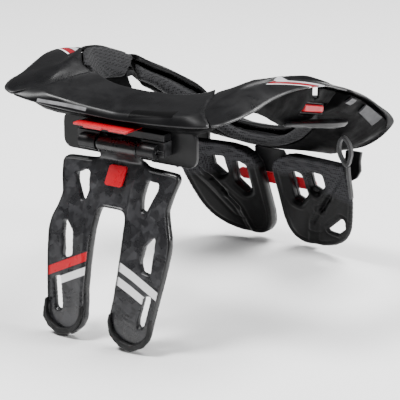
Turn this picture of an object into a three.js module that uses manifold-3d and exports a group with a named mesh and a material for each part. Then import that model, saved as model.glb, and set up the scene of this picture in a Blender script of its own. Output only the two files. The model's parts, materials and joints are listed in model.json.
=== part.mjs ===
// Motocross neck brace: a ring of moulded shells and padding that rests on the shoulders,
// with a folding thoracic strut behind and a front half that swings open on the left
// shoulder. Millimetres, +Z up. The wearer faces +Y and has the right shoulder at +X. The
// origin is the centre of the neck opening at the height where the ring is seated.
import * as THREE from "three";
import { mergeVertices } from "three/addons/utils/BufferGeometryUtils.js";
import Module from "manifold-3d";

const wasm = await Module();
wasm.setup();

// Driving dimensions.
const RING_WIDTH = 282; // over both shoulder edges
const RING_LENGTH = 297; // rear lip to front edge
const SHELL_HEIGHT = 144; // front lobes to the top of the shoulders
const SHELL_WALL = 3.6; // moulded shells
const RIM_DEPTH = 8; // front rim bar
const PAD_THICKNESS = 8; // mesh-covered foam round the neck
const GAP = 0.35; // between touching pieces
const SEAM_STEP = 3; // how far the shoulder shells sit below the raised rear table

const STRUT_WIDTH = 135; // widest, across the shoulders of the legs
const STRUT_LENGTH = 172; // hinge axis to the lowest point of the bumpers
const STRUT_WALL = 5; // strut plate
const HINGE_Y = -131.5; // hinge axis behind the neck centre
const HINGE_Z = -10.5;
const HINGE_RADIUS = 6.6;
const HINGE_BARREL = 45; // length of the strut's barrel
const HINGE_SPAN = 81; // over both fixed knuckles
const HINGE_PIN_RADIUS = 2;

const BACK_PLATE_WIDTH = 144;
const BACK_PLATE_BOTTOM = -25;
const BACK_PLATE_WALL = 5;

// Lock button, in the right side of the rear half.
const LOCK_AT = [0.4007 * RING_WIDTH, 0.0438 * RING_LENGTH, 0.0583 * SHELL_HEIGHT];
const LOCK_SLOPE = -0.25;
const PIVOT_X = -0.4468 * RING_WIDTH; // swing pivot of the front half
const PIVOT_Y = 0.1481 * RING_LENGTH;
const PIVOT_Z = 0.0729 * SHELL_HEIGHT; // where the two lugs meet
const PIVOT_PIN_RADIUS = 1.8;
const PIVOT_BOSS = 4.5; // radius of the lugs round the pin
const PIVOT_LUG = 0.029 * SHELL_HEIGHT; // height of each lug

const WING_WIDTH = 94.5; // one chest wing, at its widest
const WING_HEIGHT = 106;
const WING_TOP = -0.493 * SHELL_HEIGHT;
const WING_INNER = 8; // inner edge from the centre line
const WING_LEAN = 0.45; // forward run for each mm of drop
const WING_HOLLOW = 0.001; // curvature across the chest
const WING_PAD = 13; // foam thickness
const WING_PLATE = 3;
const WING_FLAP = 5.5; // thin outer corner of each wing
const WING_SET = 0.41 * RING_LENGTH; // rear face of the wings at their middle
const BRACKET_WIDTH = 42;
const BRACKET_WALL = 3;
const CLIP_WIDTH = 90;
const CLIP_HEIGHT = 13;
const LOCK_LENGTH = 44; // housing of the lock button
const LOCK_HEIGHT = 11;
const LOBE_WALL = 5;
const WEB_WIDTH = 4.4; // strap webbing
const WEB_WALL = 1.8;

// Sections round the right half of the ring. Each row is one section from the inner rim over
// the crease to the outer edge, with the inner foot and the outer sole of the padding below.
// x is a share of RING_WIDTH, y of RING_LENGTH and z of SHELL_HEIGHT.
const POINTS = ["rim", "crease", "edge", "foot", "sole"];
const REAR_SECTIONS = [
  [0, -.290, .215, 0, -.458, .149, 0, -.471, .104, 0, -.269, .069, 0, -.441, .062],
  [.124, -.279, .222, .160, -.460, .174, .195, -.478, .125, .135, -.259, .069, .177, -.448, .069],
  [.206, -.259, .250, .277, -.461, .215, .326, -.495, .160, .213, -.236, .076, .298, -.451, .083],
  [.248, -.239, .288, .305, -.411, .243, .408, -.493, .198, .248, -.205, .083, .348, -.431, .125],
  [.284, -.209, .312, .316, -.360, .274, .440, -.441, .222, .280, -.168, .090, .376, -.384, .174],
  [.316, -.172, .330, .337, -.306, .299, .450, -.364, .240, .301, -.135, .097, .387, -.323, .191],
  [.340, -.141, .333, .355, -.242, .312, .461, -.283, .278, .316, -.101, .101, .390, -.249, .142],
  [.358, -.108, .333, .376, -.185, .316, .479, -.202, .299, .323, -.067, .101, .387, -.168, .059],
  [.369, -.054, .319, .404, -.114, .306, .493, -.114, .292, .326, -.037, .094, .379, -.088, -.014],
  [.372, .007, .292, .418, -.020, .274, .498, -.020, .260, .328, -.007, .083, .376, 0, -.049],
  [.372, .074, .240, .418, .061, .229, .491, .061, .208, .328, .020, .073, .372, .074, -.062],
  [.365, .141, .184, .415, .141, .174, .480, .141, .156, .328, .040, .066, .372, .128, -.035],
];
const FRONT_SECTIONS = [
  [.365, .155, .177, .415, .155, .167, .475, .168, .142, .323, .108, .024, .369, .165, -.042],
  [.348, .209, .111, .404, .215, .108, .472, .226, .097, .305, .175, -.042, .365, .236, -.118],
  [.312, .269, .042, .383, .283, .038, .466, .296, .035, .277, .236, -.139, .358, .303, -.222],
  [.270, .306, -.021, .358, .347, -.028, .468, .374, -.056, .241, .276, -.222, .348, .357, -.319],
  [.220, .337, -.090, .326, .397, -.097, .475, .438, -.139, .199, .303, -.299, .333, .397, -.389],
  [.170, .357, -.201, .284, .438, -.208, .472, .468, -.201, .156, .320, -.361, .305, .428, -.444],
  [.128, .367, -.267, .234, .461, -.292, .450, .487, -.257, .121, .327, -.396, .262, .448, -.486],
  [.092, .372, -.295, .184, .478, -.333, .397, .498, -.361, .089, .333, -.424, .213, .461, -.493],
  [.060, .375, -.303, .135, .487, -.368, .326, .505, -.444, .060, .336, -.438, .156, .468, -.500],
  [.035, .377, -.307, .085, .492, -.396, .220, .512, -.493, .035, .337, -.448, .099, .471, -.507],
  [.018, .377, -.308, .043, .494, -.406, .106, .515, -.514, .018, .337, -.451, .050, .475, -.510],
  [0, .377, -.308, 0, .495, -.410, 0, .515, -.521, 0, .337, -.451, 0, .475, -.514],
];

// Chest wing outline from the top down: height as a share of WING_HEIGHT, inner and outer edge
// as shares of WING_WIDTH from the inner edge.
const WING_ROWS = [
  // z, inner, outer
  [0, 0.3, 0.95],
  [0.04, 0.15, 0.965],
  [0.1, 0.05, 0.975],
  [0.18, 0, 0.98],
  [0.27, 0, 0.98],
  [0.36, 0, 0.97],
  [0.45, 0, 0.95],
  [0.55, 0, 0.92],
  [0.64, 0, 0.89],
  [0.73, 0, 0.855],
  [0.8, 0.01, 0.81],
  [0.86, 0.025, 0.755],
  [0.91, 0.05, 0.69],
  [0.955, 0.09, 0.6],
  [0.985, 0.15, 0.5],
  [1, 0.2, 0.42],
];
// The two windows of each wing: outline points, x as a share of WING_WIDTH from the inner
// edge, z as a share of WING_HEIGHT from the top.
const WING_WINDOWS = [
  [[0.26, 0.195], [0.35, 0.21], [0.37, 0.42], [0.26, 0.53], [0.185, 0.5], [0.18, 0.23]],
  [[0.43, 0.16], [0.62, 0.17], [0.62, 0.29], [0.52, 0.38], [0.43, 0.34]],
];

// Strut from the barrel down: drop below the hinge axis as a share of STRUT_LENGTH, half width
// as a share of STRUT_WIDTH, set-back behind the hinge axis as a share of STRUT_LENGTH.
const STRUT_ROWS = [
  // drop, half width, back
  [0.07, 0.175, -0.035],
  [0.088, 0.2, -0.032],
  [0.096, 0.455, -0.028],
  [0.125, 0.478, -0.016],
  [0.2, 0.455, 0.02],
  [0.285, 0.43, 0.043],
  [0.35, 0.455, 0.06],
  [0.41, 0.487, 0.083],
  [0.475, 0.5, 0.103],
  [0.59, 0.485, 0.133],
  [0.72, 0.46, 0.165],
  [0.86, 0.432, 0.196],
  [0.925, 0.42, 0.207],
  [0.965, 0.385, 0.212],
  [0.99, 0.32, 0.215],
  [1, 0.27, 0.216],
];

const V = (x, y, z) => new THREE.Vector3(x, y, z);
const UP = V(0, 0, 1);

// A closed skin over rings of equal length. The end rings are capped, or joined when wrap is set.
function skin(rings, wrap = false) {
  const n = rings[0].length;
  const position = rings.flat().flatMap((p) => [p.x, p.y, p.z]);
  const index = [];
  const last = wrap ? rings.length : rings.length - 1;
  for (let i = 0; i < last; i++) {
    const a = i * n;
    const b = ((i + 1) % rings.length) * n;
    for (let j = 0; j < n; j++) {
      const k = (j + 1) % n;
      index.push(a + j, b + j, b + k, a + j, b + k, a + k);
    }
  }
  if (!wrap) {
    const cap = (ring, base, flip) => {
      const normal = V(0, 0, 0);
      ring.forEach((p, i) => {
        const q = ring[(i + 1) % n];
        normal.x += (p.y - q.y) * (p.z + q.z);
        normal.y += (p.z - q.z) * (p.x + q.x);
        normal.z += (p.x - q.x) * (p.y + q.y);
      });
      const w = normal.normalize();
      const u = V(0, 0, 0).crossVectors(Math.abs(w.z) < 0.9 ? UP : V(1, 0, 0), w).normalize();
      const v = V(0, 0, 0).crossVectors(w, u);
      const flat = ring.map((p) => new THREE.Vector2(p.dot(u), p.dot(v)));
      for (const [i, j, k] of THREE.ShapeUtils.triangulateShape(flat, [])) {
        index.push(...(flip ? [base + i, base + k, base + j] : [base + i, base + j, base + k]));
      }
    };
    cap(rings[0], 0, false);
    cap(rings[rings.length - 1], (rings.length - 1) * n, true);
  }
  const geometry = new THREE.BufferGeometry();
  geometry.setAttribute("position", new THREE.Float32BufferAttribute(position, 3));
  geometry.setIndex(index);
  return outward(geometry);
}

function volume(geometry) {
  const p = geometry.getAttribute("position");
  const ix = geometry.index ? geometry.index.array : [...Array(p.count).keys()];
  const [a, b, c] = [V(0, 0, 0), V(0, 0, 0), V(0, 0, 0)];
  let sum = 0;
  for (let i = 0; i < ix.length; i += 3) {
    a.fromBufferAttribute(p, ix[i]);
    b.fromBufferAttribute(p, ix[i + 1]);
    c.fromBufferAttribute(p, ix[i + 2]);
    sum += a.dot(b.cross(c)) / 6;
  }
  return sum;
}

function outward(geometry) {
  if (volume(geometry) < 0) {
    const ix = geometry.index.array;
    for (let i = 0; i < ix.length; i += 3) [ix[i + 1], ix[i + 2]] = [ix[i + 2], ix[i + 1]];
  }
  return geometry;
}

function solid(geometry) {
  const bare = new THREE.BufferGeometry();
  bare.setAttribute("position", geometry.getAttribute("position"));
  if (geometry.index) bare.setIndex(geometry.index);
  const merged = mergeVertices(bare, 1e-4);
  return new wasm.Manifold(
    new wasm.Mesh({
      numProp: 3,
      vertProperties: new Float32Array(merged.getAttribute("position").array),
      triVerts: new Uint32Array(merged.index.array),
    }),
  );
}

function unsolid(manifold) {
  const mesh = manifold.getMesh();
  const geometry = new THREE.BufferGeometry();
  geometry.setAttribute("position", new THREE.Float32BufferAttribute(mesh.vertProperties, 3));
  geometry.setIndex([...mesh.triVerts]);
  return geometry;
}

const cut = (body, ...tools) =>
  unsolid(tools.reduce((m, t) => m.subtract(solid(t)), solid(body)));
const join = (...parts) =>
  unsolid(parts.slice(1).reduce((m, t) => m.add(solid(t)), solid(parts[0])));

function mirrored(geometry) {
  const g = geometry.clone();
  if (!g.index) g.setIndex([...Array(g.getAttribute("position").count).keys()]);
  g.applyMatrix4(new THREE.Matrix4().makeScale(-1, 1, 1));
  return outward(g);
}

function box(x0, x1, y0, y1, z0, z1) {
  return new THREE.BoxGeometry(x1 - x0, y1 - y0, z1 - z0).translate(
    (x0 + x1) / 2,
    (y0 + y1) / 2,
    (z0 + z1) / 2,
  );
}

// A round bar along X.
function barX(x0, x1, y, z, radius, sides = 24) {
  return new THREE.CylinderGeometry(radius, radius, x1 - x0, sides)
    .rotateZ(Math.PI / 2)
    .translate((x0 + x1) / 2, y, z);
}

// An outline in x and z, taken through a band of y that may follow a surface.
function prismY(outline, front, back) {
  return skin([
    outline.map(([x, z]) => V(x, front(x, z), z)),
    outline.map(([x, z]) => V(x, back(x, z), z)),
  ]);
}

// An ellipse-cornered outline, for plates and badges.
function roundedRect(x0, x1, z0, z1, r, steps = 4) {
  const out = [];
  for (const [cx, cz, from] of [
    [x1 - r, z1 - r, 0],
    [x0 + r, z1 - r, 1],
    [x0 + r, z0 + r, 2],
    [x1 - r, z0 + r, 3],
  ]) {
    for (let i = 0; i <= steps; i++) {
      const t = ((from + i / steps) * Math.PI) / 2;
      out.push([cx + r * Math.cos(t), cz + r * Math.sin(t)]);
    }
  }
  return out;
}

function ringCurves(rows) {
  return POINTS.map(
    (_, i) =>
      new THREE.CatmullRomCurve3(
        rows.map((row) =>
          V(row[3 * i] * RING_WIDTH, row[3 * i + 1] * RING_LENGTH, row[3 * i + 2] * SHELL_HEIGHT),
        ),
      ),
  );
}

// Sections at evenly spaced rows of a table, from one row number to another.
function stations(rows, from = 0, to = rows.length - 1, count = Math.round((to - from) * 2)) {
  const curves = ringCurves(rows);
  const out = [];
  for (let k = 0; k <= count; k++) {
    const row = from + ((to - from) * k) / count;
    const s = { row };
    POINTS.forEach((name, i) => (s[name] = curves[i].getPoint(row / (rows.length - 1))));
    s.inward = V(s.rim.x - s.edge.x, s.rim.y - s.edge.y, 0).normalize();
    out.push(s);
  }
  return out;
}

const flipStation = (s) => {
  const out = { row: s.row };
  for (const [key, value] of Object.entries(s)) {
    if (value.isVector3) out[key] = V(-value.x, value.y, value.z);
  }
  return out;
};

// Both halves in one run, from the left seam to the right seam or over a part of the rows.
const both = (half) => [...half.slice(1).reverse().map(flipStation), ...half];

const at = (p, inward, dIn, dUp) => p.clone().addScaledVector(inward, dIn).addScaledVector(UP, dUp);
const mix = (a, b, t) => a.clone().lerp(b, t);

const TABLE_END = 2.6; // row of the section table where the raised table ends
const ARM_LEVEL = 5; // row where the shoulder shell is back at full height
const REAR_LAST = REAR_SECTIONS.length - 1;
const FRONT_LAST = FRONT_SECTIONS.length - 1;

// The normal of a line in the plane of a section, to the side of the padding.
function under(s, from, to) {
  const out = to.clone().sub(from).dot(s.inward) * -1;
  const rise = to.z - from.z;
  return s.inward.clone().multiplyScalar(-rise).addScaledVector(UP, -out).normalize();
}

// The top line of a section and its normals. inset moves the rim outwards, to make room for a
// pad, and dip lowers it.
function topLine(s, inset, dip) {
  const rim = at(s.rim, s.inward, -inset, -dip);
  const crease = at(s.crease, s.inward, 0, -dip * 0.7);
  const n1 = under(s, rim, crease);
  const n2 = under(s, crease, s.edge);
  const nc = n1.clone().add(n2).normalize();
  const m1 = mix(rim, crease, 0.45).addScaledVector(n1, -1.2);
  const m2 = mix(crease, s.edge, 0.5).addScaledVector(n2, -0.8);
  return { rim, crease, m1, m2, n1, n2, nc };
}

// Shell wall over one section. grow makes the cutter that keeps the padding clear of it.
function shellRing(s, { inset = 0, rimDepth = SHELL_WALL + 0.4, dip = 0, grow = 0 } = {}) {
  const h = s.inward;
  const t = topLine(s, inset, dip);
  const wall = SHELL_WALL + grow;
  return [
    at(t.rim, h, grow, -1.2),
    at(t.rim, h, -1.4, grow),
    t.m1.clone().addScaledVector(t.n1, -grow),
    t.crease.clone().addScaledVector(t.nc, -grow),
    t.m2.clone().addScaledVector(t.n2, -grow),
    s.edge.clone().addScaledVector(t.n2, -grow).addScaledVector(h, -grow),
    s.edge.clone().addScaledVector(t.n2, SHELL_WALL * 0.45 + grow).addScaledVector(h, 0.6 - grow),
    mix(s.edge, t.crease, 0.12).addScaledVector(t.n2, SHELL_WALL * 0.6 + grow),
    t.crease.clone().addScaledVector(t.nc, wall),
    t.m1.clone().addScaledVector(t.n1, wall),
    at(t.rim, h, grow, -rimDepth - grow),
  ];
}

// Foam body under the shell, down to the sole. reach is how far it runs out below the flange.
function linerRing(
  s,
  { inset = PAD_THICKNESS, rimDepth = SHELL_WALL + 0.4, dip = 0, reach = 0.45 } = {},
) {
  const h = s.inward;
  const t = topLine(s, inset, dip);
  const below = SHELL_WALL + GAP + 0.5;
  const brow = mix(t.crease, s.edge, reach).addScaledVector(t.n2, below);
  return [
    at(t.rim, h, -GAP, -rimDepth - GAP - 0.8),
    t.m1.clone().addScaledVector(t.n1, below),
    t.crease.clone().addScaledVector(t.nc, below + 0.3),
    brow,
    at(mix(brow, s.sole, 0.5), h, -1, -1),
    at(s.sole, h, 0, 2.5),
    at(s.sole, h, 3.5, -0.5),
    at(mix(s.sole, s.foot, 0.5), h, 0, -1.5),
    at(s.foot, h, -inset - GAP, 0),
  ];
}

// Mesh-covered foam between the shell's inner edge and the neck.
function padRing(s, top, under = 0) {
  const h = s.inward;
  const a = at(s.rim, h, -PAD_THICKNESS + GAP - under, -top);
  const f = at(s.foot, h, -PAD_THICKNESS + 0.2, 0.3);
  return [
    a,
    at(s.rim, h, -2.5, -top),
    at(s.rim, h, 0, -top - 3),
    at(mix(s.rim, s.foot, 0.5), h, 1.5, 0),
    at(s.foot, h, 0, 4),
    at(s.foot, h, -2.5, 0.8),
    f,
  ];
}

const ease = (t) => Math.max(0, Math.min(1, t));
const dipAt = (row) =>
  SEAM_STEP *
  Math.min(ease((row - 1.6) / (TABLE_END - 1.6)), ease((ARM_LEVEL - row) / (ARM_LEVEL - TABLE_END)));

const tableRing = (grow) =>
  both(stations(REAR_SECTIONS, 0, TABLE_END, 6)).map((s) => shellRing(s, { grow }));
const rearTable = skin(tableRing(0));
const tableSlab = skin(
  stations(REAR_SECTIONS, 1.4, TABLE_END + 0.03, 4).map((s) => [
    at(s.rim, s.inward, 9, 12),
    at(s.crease, s.inward, 0, 12),
    at(s.edge, s.inward, -9, 12),
    at(s.edge, s.inward, -9, -12),
    at(s.rim, s.inward, 9, -16),
  ]),
);
const armRing = (grow) =>
  stations(REAR_SECTIONS, TABLE_END - 0.1, REAR_LAST, 18).map((s) =>
    shellRing(s, {
      inset: (PAD_THICKNESS + GAP) * ease((s.row - 2.2) / 1.4),
      dip: dipAt(s.row),
      grow,
    }),
  );
const armRight = cut(skin(armRing(0)), tableSlab);
const armCutter = skin(armRing(GAP));
// Push-button lock in the right side of the rear half. Its pocket slopes with the shoulder.
const place = (g) => g.rotateX(LOCK_SLOPE).translate(...LOCK_AT);
const plateTop = 0.0625 * SHELL_HEIGHT;
const plateFace = HINGE_Y + 2.2 * HINGE_RADIUS;
const [lockHalf, lockUp] = [LOCK_LENGTH / 2, LOCK_HEIGHT / 2];
const lockPocket = place(
  box(-10, 20, -lockHalf - GAP, lockHalf + GAP, -lockUp - GAP, lockUp + GAP),
);
const lockHousing = place(
  cut(
    box(-9, 0, -lockHalf, lockHalf, -lockUp, lockUp),
    box(-5, 1, -lockHalf + 3.6, lockHalf - 3.6, -lockUp + 1.6, lockUp - 1.6),
  ),
);
const lockButton = place(
  skin([
    roundedRect(-18, 18, -3.5, 3.5, 2).map(([y, z]) => V(-2, y, z)),
    roundedRect(-18, 18, -3.5, 3.5, 2).map(([y, z]) => V(2, y, z)),
    roundedRect(-17, 17, -2.5, 2.5, 1.5).map(([y, z]) => V(3, y, z)),
  ]),
);
// Moulded tongue under the lock, which carries on over the seam: y as a share of RING_LENGTH,
// x of RING_WIDTH and z of SHELL_HEIGHT.
const TONGUE = [
  // y, inner x, outer x, top, bottom
  [-0.1145, 0.399, 0.4025, 0.0278, 0.0194],
  [-0.0471, 0.3872, 0.4131, 0.0069, -0.0174],
  [0.0269, 0.3816, 0.4255, -0.0208, -0.0521],
  [0.0943, 0.383, 0.4344, -0.0451, -0.0833],
  [0.138, 0.3848, 0.4397, -0.059, -0.1042],
  [0.1481, 0.4025, 0.4397, -0.0625, -0.1076],
  [0.1886, 0.406, 0.4397, -0.0799, -0.1181],
  [0.2121, 0.4149, 0.4326, -0.0938, -0.1146],
];
const lockTongue = skin(
  TONGUE.map(([ys, xs0, xs1, zs1, zs0]) => {
    const y = ys * RING_LENGTH;
    const [x0, x1] = [xs0 * RING_WIDTH, xs1 * RING_WIDTH];
    const [z0, z1] = [zs0 * SHELL_HEIGHT, zs1 * SHELL_HEIGHT];
    return [
      V(x0, y, z0 + (z1 - z0) * 0.3),
      V(x0, y, z1 - (z1 - z0) * 0.2),
      V((x0 + x1) / 2, y, z1),
      V(x1, y, z1 - (z1 - z0) * 0.3),
      V(x1 - 0.6, y, z0 + (z1 - z0) * 0.3),
      V((x0 + x1) / 2, y, z0),
    ];
  }),
);

// Swing pivot of the front half, at the left shoulder: a rear lug below, a front lug above.
const upright = (r, z0, z1, sides = 24) =>
  new THREE.CylinderGeometry(r, r, z1 - z0, sides)
    .rotateX(Math.PI / 2)
    .translate(PIVOT_X, PIVOT_Y, (z0 + z1) / 2);
const REAR_LUG = [PIVOT_Z - PIVOT_LUG, PIVOT_Z - 0.2];
const FRONT_LUG = [PIVOT_Z + 0.2, PIVOT_Z + PIVOT_LUG];
const pivotBore = upright(PIVOT_PIN_RADIUS + GAP, PIVOT_Z - 40, PIVOT_Z + 40);
const pivotPin = upright(
  PIVOT_PIN_RADIUS,
  PIVOT_Z - PIVOT_LUG - PIVOT_PIN_RADIUS / 2,
  PIVOT_Z + PIVOT_LUG,
);
const lugBlock = (reach, near, far, [z0, z1], g) =>
  box(
    PIVOT_X - PIVOT_BOSS - g,
    PIVOT_X + reach + g,
    PIVOT_Y + near - g,
    PIVOT_Y + far + g,
    z0 - g,
    z1 + g,
  );
const rearLugBlock = (g) => lugBlock(5.3 * PIVOT_BOSS, -4 * PIVOT_BOSS, -1.3 * PIVOT_BOSS, REAR_LUG, g);
const frontLugBlock = (g) => lugBlock(3.3 * PIVOT_BOSS, 1.3 * PIVOT_BOSS, 3 * PIVOT_BOSS, FRONT_LUG, g);
const lug = (block, near, far, level) =>
  cut(
    join(block(0), lugBlock(PIVOT_BOSS, near, far, level, 0), upright(PIVOT_BOSS, ...level)),
    pivotBore,
  );
const rearLug = lug(rearLugBlock, -1.5 * PIVOT_BOSS, 0, REAR_LUG);
const frontLug = lug(frontLugBlock, 0, 1.5 * PIVOT_BOSS, FRONT_LUG);
// Room for both lugs and the swing between them.
const pivotRoom = upright(PIVOT_BOSS * 1.5, PIVOT_Z - PIVOT_LUG - 1.5, PIVOT_Z + PIVOT_LUG + 1.5);

// Slit through the rear padding above the lock, on the right: place on the centre line, lowest
// and highest point.
const SLIT_WIDTH = 4.4;
const SLIT = [
  // x, y, bottom, top
  [0.468, -0.057, 0.18, 0.35],
  [0.425, 0.022, 0.138, 0.33],
  [0.372, 0.108, 0.08, 0.3],
  [0.32, 0.195, 0.03, 0.28],
];
const slitRing = ([x, y, low, high], far) => {
  const [px, py] = [x * RING_WIDTH, y * RING_LENGTH];
  const [z0, z1] = [low * SHELL_HEIGHT, high * SHELL_HEIGHT];
  const w = SLIT_WIDTH / 2;
  return [
    V(px - w * 0.85, py - w * 0.5, z0),
    V(px + far * 0.85, py + far * 0.5, z0),
    V(px + far * 0.85, py + far * 0.5, z1),
    V(px - w * 0.85, py - w * 0.5, z1),
  ];
};
const slit = skin(SLIT.map((row) => slitRing(row, SLIT_WIDTH / 2)));
const slitEnd = skin(SLIT.map((row) => slitRing([row[0], row[1], 0, row[3]], 10 * SLIT_WIDTH)));

const rearLiner = cut(
  skin(both(stations(REAR_SECTIONS, 0, REAR_LAST - 0.1)).map((s) => linerRing(s, { dip: dipAt(s.row) }))),
  skin(tableRing(GAP)),
  armCutter,
  mirrored(armCutter),
  lockPocket,
  rearLugBlock(GAP),
  pivotRoom,
  slit,
  box(
    -BACK_PLATE_WIDTH / 2 - GAP,
    BACK_PLATE_WIDTH / 2 + GAP,
    plateFace - GAP,
    plateFace + BACK_PLATE_WALL + GAP,
    BACK_PLATE_BOTTOM - 5,
    plateTop + GAP,
  ),
);
const PAD_START = 3.7;
const neckPadRear = skin(
  both(stations(REAR_SECTIONS, 0, 2.3, 5)).map((s) => padRing(s, SHELL_WALL + 2 + dipAt(s.row))),
);
const neckPad = skin(
  stations(REAR_SECTIONS, PAD_START, REAR_LAST - 0.05, 16).map((s) =>
    padRing(s, 1.2 + dipAt(s.row)),
  ),
);

// Back plate under the table, with the recess for the hinge.
const backPlate = cut(
  prismY(
    roundedRect(-BACK_PLATE_WIDTH / 2, BACK_PLATE_WIDTH / 2, BACK_PLATE_BOTTOM, plateTop, 9),
    () => plateFace,
    () => plateFace + BACK_PLATE_WALL,
  ),
  box(-HINGE_BARREL / 2 - 2, HINGE_BARREL / 2 + 2, plateFace - 1, plateFace + 2, -40, -3),
);

// Fixed knuckles with their webs, and the pin through all of them.
const knuckleOuter = HINGE_SPAN / 2;
const knuckleInner = HINGE_BARREL / 2 + GAP;
const pinBore = barX(-60, 60, HINGE_Y, HINGE_Z, HINGE_PIN_RADIUS + GAP);
const knuckleRight = cut(
  join(
    barX(knuckleInner, knuckleOuter, HINGE_Y, HINGE_Z, HINGE_RADIUS),
    box(knuckleInner, knuckleOuter + 6, HINGE_Y + 2, plateFace - GAP, HINGE_Z - 4.5, HINGE_Z + 9),
  ),
  pinBore,
);
const hingePin = barX(-knuckleOuter + 1, knuckleOuter - 1, HINGE_Y, HINGE_Z, HINGE_PIN_RADIUS);
const hingeBridgeTop = HINGE_Z + 16;
const hingeBridge = box(-46, 46, HINGE_Y + 3, plateFace - GAP, HINGE_Z + 9 + GAP, hingeBridgeTop);
const clipTop = hingeBridgeTop + GAP + 1.6;
const rearClip = join(
  box(-38, 38, HINGE_Y - 16.5, plateFace - GAP, clipTop - 1.6, clipTop),
  box(-38, 38, HINGE_Y - 16.5, HINGE_Y - 6, clipTop - 1, clipTop + 2),
  box(-23, 2, HINGE_Y - 17.5, HINGE_Y - 5, clipTop - 3.2, clipTop),
  box(12, 36, HINGE_Y - 17.5, HINGE_Y - 5, clipTop - 2.8, clipTop),
);

const strutPoint = (row) =>
  V(row[1] * STRUT_WIDTH, HINGE_Y - row[2] * STRUT_LENGTH, HINGE_Z - row[0] * STRUT_LENGTH);
const strutSlope = (i) => {
  const a = STRUT_ROWS[Math.max(0, i - 1)];
  const b = STRUT_ROWS[Math.min(STRUT_ROWS.length - 1, i + 1)];
  return V(0, -(b[2] - a[2]), -(b[0] - a[0])).normalize();
};
const strutBlade = skin(
  STRUT_ROWS.map((row, i) => {
    const along = strutSlope(i);
    const out = V(0, along.z, -along.y); // rearward normal
    const right = strutPoint(row);
    const w = right.x;
    const c = (x, d) => V(x, right.y, right.z).addScaledVector(out, d);
    return [
      c(-w, -STRUT_WALL + 1),
      c(-w, -1.2),
      c(-w + 1.2, 0),
      c(-w * 0.5, 1.2),
      c(-w * 0.3, 3),
      c(w * 0.3, 3),
      c(w * 0.5, 1.2),
      c(w - 1.2, 0),
      c(w, -1.2),
      c(w, -STRUT_WALL + 1),
      c(w - 1.2, -STRUT_WALL),
      c(-w + 1.2, -STRUT_WALL),
    ];
  }),
);

// Rear face of the strut plate at a given height.
function strutY(z) {
  const d = (HINGE_Z - z) / STRUT_LENGTH;
  let i = 1;
  while (i < STRUT_ROWS.length - 1 && STRUT_ROWS[i][0] < d) i++;
  const [a, b] = [STRUT_ROWS[i - 1], STRUT_ROWS[i]];
  return HINGE_Y - STRUT_LENGTH * (a[2] + ((b[2] - a[2]) * (d - a[0])) / (b[0] - a[0]));
}
const dropZ = (share) => HINGE_Z - share * STRUT_LENGTH;
const strutCutter = (points) =>
  prismY(
    points.map(([x, d]) => [x * STRUT_WIDTH, dropZ(d)]),
    (x, z) => strutY(z) - 16,
    (x, z) => strutY(z) + 16,
  );

// Slot between the legs, windows and strap slots: x as a share of STRUT_WIDTH, drop as a share
// of STRUT_LENGTH.
const LEG_SLOT = [
  [0.087, 0.325], [0.104, 0.35], [0.115, 0.44], [0.118, 0.535], [0.111, 0.75],
  [0.096, 0.83], [0.092, 0.9], [0.12, 0.95], [0.19, 1.0], [0.25, 1.05],
];
const UPPER_WINDOW = [[0.232, 0.155], [0.3, 0.165], [0.245, 0.31]];
const MID_WINDOW = [[0.35, 0.43], [0.362, 0.49], [0.345, 0.56], [0.31, 0.615], [0.3, 0.535]];
const STRAP_SLOT = [[0.355, 0.715], [0.385, 0.72], [0.345, 0.88], [0.315, 0.885]];
const legSlot = strutCutter([...LEG_SLOT, ...LEG_SLOT.slice().reverse().map(([x, d]) => [-x, d])]);
const strutCuts = [UPPER_WINDOW, MID_WINDOW, STRAP_SLOT].map(strutCutter);
const barrelTongue = skin(
  [
    [HINGE_Y - 3.5, HINGE_Z - 2, HINGE_BARREL / 2],
    [HINGE_Y + 1, HINGE_Z - 6.5, HINGE_BARREL / 2],
    [HINGE_Y + 5.5, HINGE_Z - 13, HINGE_BARREL / 2 + 1],
    [HINGE_Y + 4.5, HINGE_Z - 19, HINGE_BARREL / 2 + 4],
  ].map(([y, z, w]) => [
    V(-w, y - 2.8, z - 1),
    V(w, y - 2.8, z - 1),
    V(w, y + 2.2, z + 1),
    V(-w, y + 2.2, z + 1),
  ]),
);
const strut = cut(
  join(
    strutBlade,
    barrelTongue,
    barX(-HINGE_BARREL / 2, HINGE_BARREL / 2, HINGE_Y, HINGE_Z, HINGE_RADIUS + 0.4),
  ),
  legSlot,
  ...strutCuts,
  ...strutCuts.map(mirrored),
  pinBore,
);

// How far the plate's rear face stands proud of strutY, across the width.
function strutRise(x, z) {
  const d = (HINGE_Z - z) / STRUT_LENGTH;
  let i = 1;
  while (i < STRUT_ROWS.length - 1 && STRUT_ROWS[i][0] < d) i++;
  const [a, b] = [STRUT_ROWS[i - 1], STRUT_ROWS[i]];
  const half = STRUT_WIDTH * (a[1] + ((b[1] - a[1]) * (d - a[0])) / (b[0] - a[0]));
  const u = Math.abs(x) / half;
  return u < 0.3 ? 3 : u < 0.5 ? 3 - 9 * (u - 0.3) : Math.max(0, 1.2 * (1 - (u - 0.5) * 2));
}

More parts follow.
